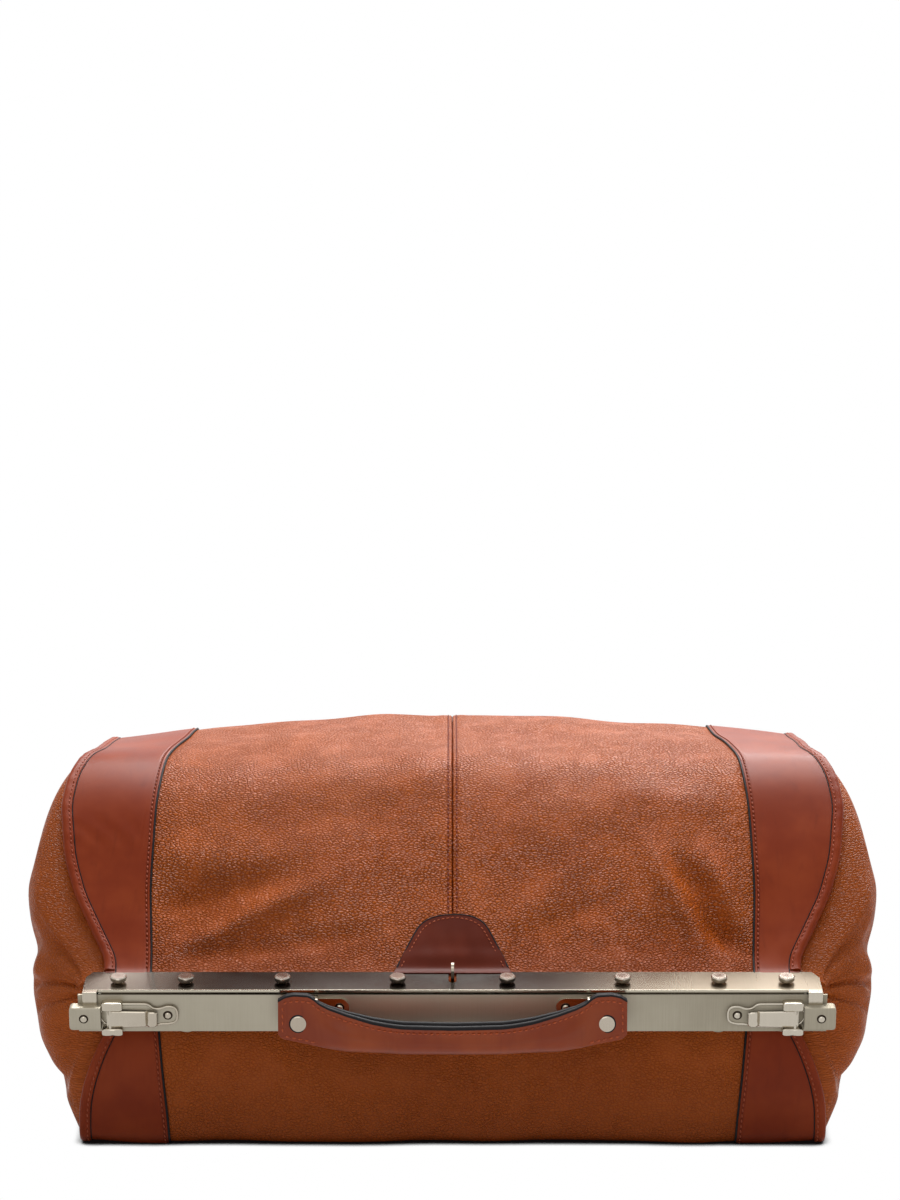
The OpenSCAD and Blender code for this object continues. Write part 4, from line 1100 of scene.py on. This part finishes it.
# Rectangle with a point in the middle of each side.
def box(low, high, bottom, top):
    x, rise = mix(low, high, 0.5), mix(bottom, top, 0.5)
    return [(low, bottom), (x, bottom), (high, bottom), (high, rise), (high, top), (x, top), (low, top),
            (low, rise)]


# Rectangle that rounded leaves square at its inner end and rounds at its outer end.
def housing(low, high, bottom, top):
    soft = catchSet["corner"]
    return [(low, bottom), (low, bottom), (high - soft, bottom), (high, bottom), (high, bottom + soft),
            (high, top - soft), (high, top), (high - soft, top), (low, top), (low, top)]


# Lever: a sheet arched between its long edges, with a groove and a raised lip near its tip.
def lever(name, side):
    c = leverSet
    u, v = gridOf(np.r_[0, 0.015, np.linspace(0.04, 0.96, 60), 0.985, 1], np.linspace(-1, 1, 25))
    middle, half = sum(c["rise"]) / 2, (c["rise"][1] - c["rise"][0]) / 2
    width = half * (1 - 0.1 * ease(u / 0.8)) * (1 - 0.16 * ease((u - 0.93) / 0.07))
    lip = c["lip"] * ease((u - 0.8) / 0.05) * ease((1.02 - u) / 0.05) - c["groove"] * hill(u, 0.785, 0.013)
    arch = c["arch"] * np.sqrt(np.clip(1 - 0.92 * v * v, 0, 1)) * (ease(u / 0.05) * 0.5 + 0.5)
    depth = c["height"] + arch - 0.9 * u + lip
    x = side * mix(c["from"], c["to"], u)
    outer = inFrame(x, -depth, middle + width * v)
    inner = inFrame(x, -np.maximum(depth - c["thick"], c["lowest"]), middle + width * v * 0.97)
    return shell(name, outer, inner, polished, sharp=45)


domes = []
for word, side in sides.items():
    name = word.capitalize()
    outline, depth = rounded(catchBase), catchSet["baseDepth"]
    keep(slab("catchBase" + name, side, outline, depth, nickel, 0.4), "bag", "catch_base_" + word)
    keep(rolledEdge("catchEdge" + name, side, outline, depth, catchSet["roll"], polished), "bag")
    outline = rounded(housing(*catchSet["housing"]))
    keep(slab("catchHousing" + name, side, outline, catchSet["housingDepth"], nickel, 1.0, 0.1), "bag")
    for rise in (catchSet["earTop"], catchSet["earLow"]):
        outline = rounded(box(*catchSet["ear"], *rise))
        keep(slab("catchEar" + name, side, outline, catchSet["earDepth"], polished, 0.9, 0.3), "bag")
    keep(lever("catchLever" + name, side), word + "_lever", "catch_lever_" + word)
    for x, face in zip(catchSet["rivets"], (catchSet["housingDepth"], depth)):
        domes.append((side * x, -face, catchSet["rivetRise"]))
saddleDomes = [(side * saddleSet["x"], -saddleSet["face"], saddleSet["rise"]) for side in sides.values()]
for word, places in (("catch", domes), ("saddle", saddleDomes)):
    keep(turned(word + "Rivets", domeProfile, places, "front", polished), "bag", word + "_rivets")
    # Dark seat rings: painted shade around the rivets.
    keep(turned(word + "RivetSeats", domeSeat, places, "front", seatNickel), "bag")
print("metal dressed")

# Handle: two sheets of leather over a filled grip, closed along the top and folded over the bars at
# both ends

handleSet = {
    "half": 107.5, "lean": 33, "bow": 6.5, "sheet": 3.3, "grip": 7.8, "rivetX": 95, "rivetDrop": 12.6,
    "stitchDrop": 3.1, "edgeWidth": 1.75, "edgeHeight": 1.25, "wrinkle": 0.1}
topLine = [
    (0, -11), (30, -10.3), (50, -8.4), (65, -5.9), (76, -3.2), (82, -0.6), (86, 2.6), (89, 4.2), (98, 4.6),
    (103, 3.6), (107.5, 1.0)]
bottomLine = [
    (0, -31.6), (32, -31.9), (66, -30.0), (80, -27.6), (97, -24.2), (103.5, -22.8), (105.6, -21.8),
    (107.5, -19.4)]


# Value at a distance from the middle: the points joined by lines and eased over 3 mm.
def alongHandle(points, a):
    even = np.arange(0, 108.01, 0.25)
    return np.interp(a, even, smoothed(np.interp(even, *np.array(points, float).T), 10))


# Point of the handle at x. q runs from the top edge to the bottom, face from -1 at the back to 1 at the
# front. The section leans and bows towards the viewer in the middle.
def handlePoint(x, q, face, out=0.0):
    x, q, face, out = np.broadcast_arrays(np.asarray(x, float), q, face, out)
    a = abs(x)
    grip = ease((88 - a) / 20)
    top, bottom = alongHandle(topLine, a), alongHandle(bottomLine, a)
    lean = np.radians(handleSet["lean"]) * ease((92 - a) / 60)
    belly = mix(handleSet["sheet"], handleSet["grip"], ease((q - 0.1) / 0.42))
    roundEnd = np.sqrt(np.clip(1 - (np.clip(q - 0.58, 0, 1) / 0.42) ** 2, 0, 1))
    flatEnd = 1 - 0.25 * ease((q - 0.94) / 0.06)
    half = mix(handleSet["sheet"] * flatEnd, belly * roundEnd, grip)
    along = (0.5 - q) * (top - bottom) * mix(1.0, 1.03, grip)
    across = face * (half + out)
    bow = handleSet["bow"] * (1 - (a / 100) ** 2) * ease((104 - a) / 40)
    y = -bow - along * np.sin(lean) - across * np.cos(lean)
    z = (top + bottom) / 2 + along * np.cos(lean) - across * np.sin(lean)
    return np.stack([x, handleAxis[0] + y, handleAxis[1] + z], -1)


# Closed sections down the front and up the back, with fine wrinkles and a dip under the stitches.
def makeHandle():
    end = np.linspace(80, handleSet["half"], 56)
    x = np.r_[-end[::-1], np.linspace(-78, 78, 80), end][:, None]
    down = np.r_[0, 0.02, 0.06, 0.12, 0.18, np.linspace(0.25, 0.9, 14), 0.94, 0.97, 0.99]
    q = np.r_[down, 1.0, down[::-1]]
    face = np.repeat([1, 0, -1], [len(down), 1, len(down)])
    wrinkle = handleSet["wrinkle"] * np.sin(x * 0.9 + 1.7 * np.sin(x * 0.31)) * hill(q, 0.62, 0.16)
    stitchDip = -0.3 * hill(q * 21, handleSet["stitchDrop"], 0.8) * abs(face)
    grain = np.stack([x / 100 + 0 * q, 3 + np.cumsum(np.r_[0, abs(np.diff(q))]) * 0.22 + 0 * x], -1)
    return tube("handleCover", handlePoint(x, q, face, wrinkle + stitchDip), handleHide, grain, sharp=50)


# Painted edge of one sheet: a flattened rod that stands on the top of the handle.
def handleEdge(name, face):
    x = np.linspace(-107.6, 107.6, 300)
    base = handlePoint(x, 0.0, 0.0)
    upward, front = unit(base - handlePoint(x, 0.2, 0.0)), unit(handlePoint(x, 0.0, 1.0) - base)
    path = base + front * (face * handleSet["sheet"] * 0.51) + upward * 0.15
    sections = rod(path, front, upward, handleSet["edgeWidth"], handleSet["edgeHeight"], 12)
    return tube(name, sections, edgePaint, sharp=60)


# A row of stitches on the front of the handle.
def handleRow(x, q):
    path = handlePoint(x, q, 1.0, -0.05)
    return stitchRow("handleStitches", path, handlePoint(x, q, 1.0, 1.0) - path, brightThread, **handleStitch)


# Height of the section at x.
def handleHeight(x):
    return alongHandle(topLine, abs(x)) - alongHandle(bottomLine, abs(x))


grip = makeHandle()
keep(grip, "handle", "handle_cover")
keep(joined([handleEdge("handleEdges", 1), handleEdge("handleEdgesBack", -1)]), "handle")

x = np.linspace(-104.6, 104.6, 260)
rows = [handleRow(x, handleSet["stitchDrop"] / handleHeight(x))]
down, inward = np.linspace(0.17, 0.86, 20), np.linspace(103.5, 84, 20)
places = []
for side in sides.values():
    rows.append(handleRow(side * 104.7 + 0 * down, down))
    rows.append(handleRow(side * inward, 1 - 2.6 / handleHeight(inward)))
    rivetX = side * handleSet["rivetX"]
    places.append((rivetX, handlePoint(rivetX, 0.5, 1.0)[1], handleAxis[1] - handleSet["rivetDrop"]))
keep(joined(rows), "handle")
keep(turned("handleRivets", discProfile, places, "forward", polished, 40), "handle", "handle_rivets")
# Black seat rings: painted shade around the handle's rivets.
keep(turned("handleRivetSeats", discSeat, places, "forward", edgePaint, 40), "handle")
print("handle made")

# Floor and light, in metres

# The dark colour is a painted contact shadow, shown where ambient occlusion within reach finds the bag close.
floorSet = {
    "half": 15000, "drop": 0.2, "paint": (0.8, 0.8, 0.8), "dark": (0.004, 0.003, 0.003), "reach": 0.011,
    "contact": 0.3, "clear": 0.78}
skyStrength = 0.22
lamps = {
    "topLight": {"place": (0.1, 0.7, 1.85), "target": (0, 0, 0.15), "size": (1.5, 0.8), "power": 46},
    "backLight": {"place": (0.75, 2.1, 1.95), "target": (0, 0, 0.2), "size": (2.0, 1.1), "power": 52},
    "frontFill": {"place": (-0.5, -2.2, 1.5), "target": (0, 0, 0.1), "size": (1.6, 1.2), "power": 6}}


# White as the camera sees it, with a painted contact shadow, dark where the bag stands close.
def makeFloor(f):
    s = Shader("floor")
    paint = s.node("BsdfDiffuse", {}, {"Color": f["paint"]})
    near = s.node("AmbientOcclusion", {"samples": 12}, {"Distance": f["reach"]}, "AO")
    tone = s.blendColour(s.step(near, f["contact"], f["clear"]), f["dark"], (1, 1, 1))
    glow = s.node("Emission", {}, {"Color": tone, "Strength": 1.0})
    mixed = s.node("MixShader", {}, {0: s.seen(), 1: paint, 2: glow})
    s.node("OutputMaterial", {}, {"Surface": mixed})
    corners = [(x * f["half"], y * f["half"], -f["drop"]) for x, y in ((-1, -1), (1, -1), (1, 1), (-1, 1))]
    makeMesh("floor", np.array(corners, float), [[0, 1, 2, 3]], s.owner)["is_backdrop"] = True


# White as the camera sees it, and a plain soft light on the bag.
def makeWorld(strength):
    s = Shader("studio", bpy.data.worlds)
    bpy.context.scene.world = s.owner
    level = strength + (1 - strength) * s.seen()
    sky = s.node("Background", {}, {"Color": (1, 1, 1), "Strength": level})
    s.node("OutputWorld", {}, {"Surface": sky})


def makeLamp(name, p):
    data = bpy.data.lights.new(name, "AREA")
    data.shape = "RECTANGLE"
    data.size, data.size_y = p["size"]
    data.energy = p["power"]
    light = addObject(name, data)
    light.location = p["place"]
    light.rotation_euler = (Vector(p["target"]) - Vector(p["place"])).to_track_quat("-Z", "Y").to_euler()


makeFloor(floorSet)
makeWorld(skyStrength)
for name, values in lamps.items():
    makeLamp(name, values)

bpy.context.scene.view_settings.view_transform = "Standard"
low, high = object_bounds()
for word, a, b in (("cad size", cadLow, cadHigh), ("visual size", low, high)):
    print(word, [round((q - p) * 1000) for p, q in zip(a, b)])
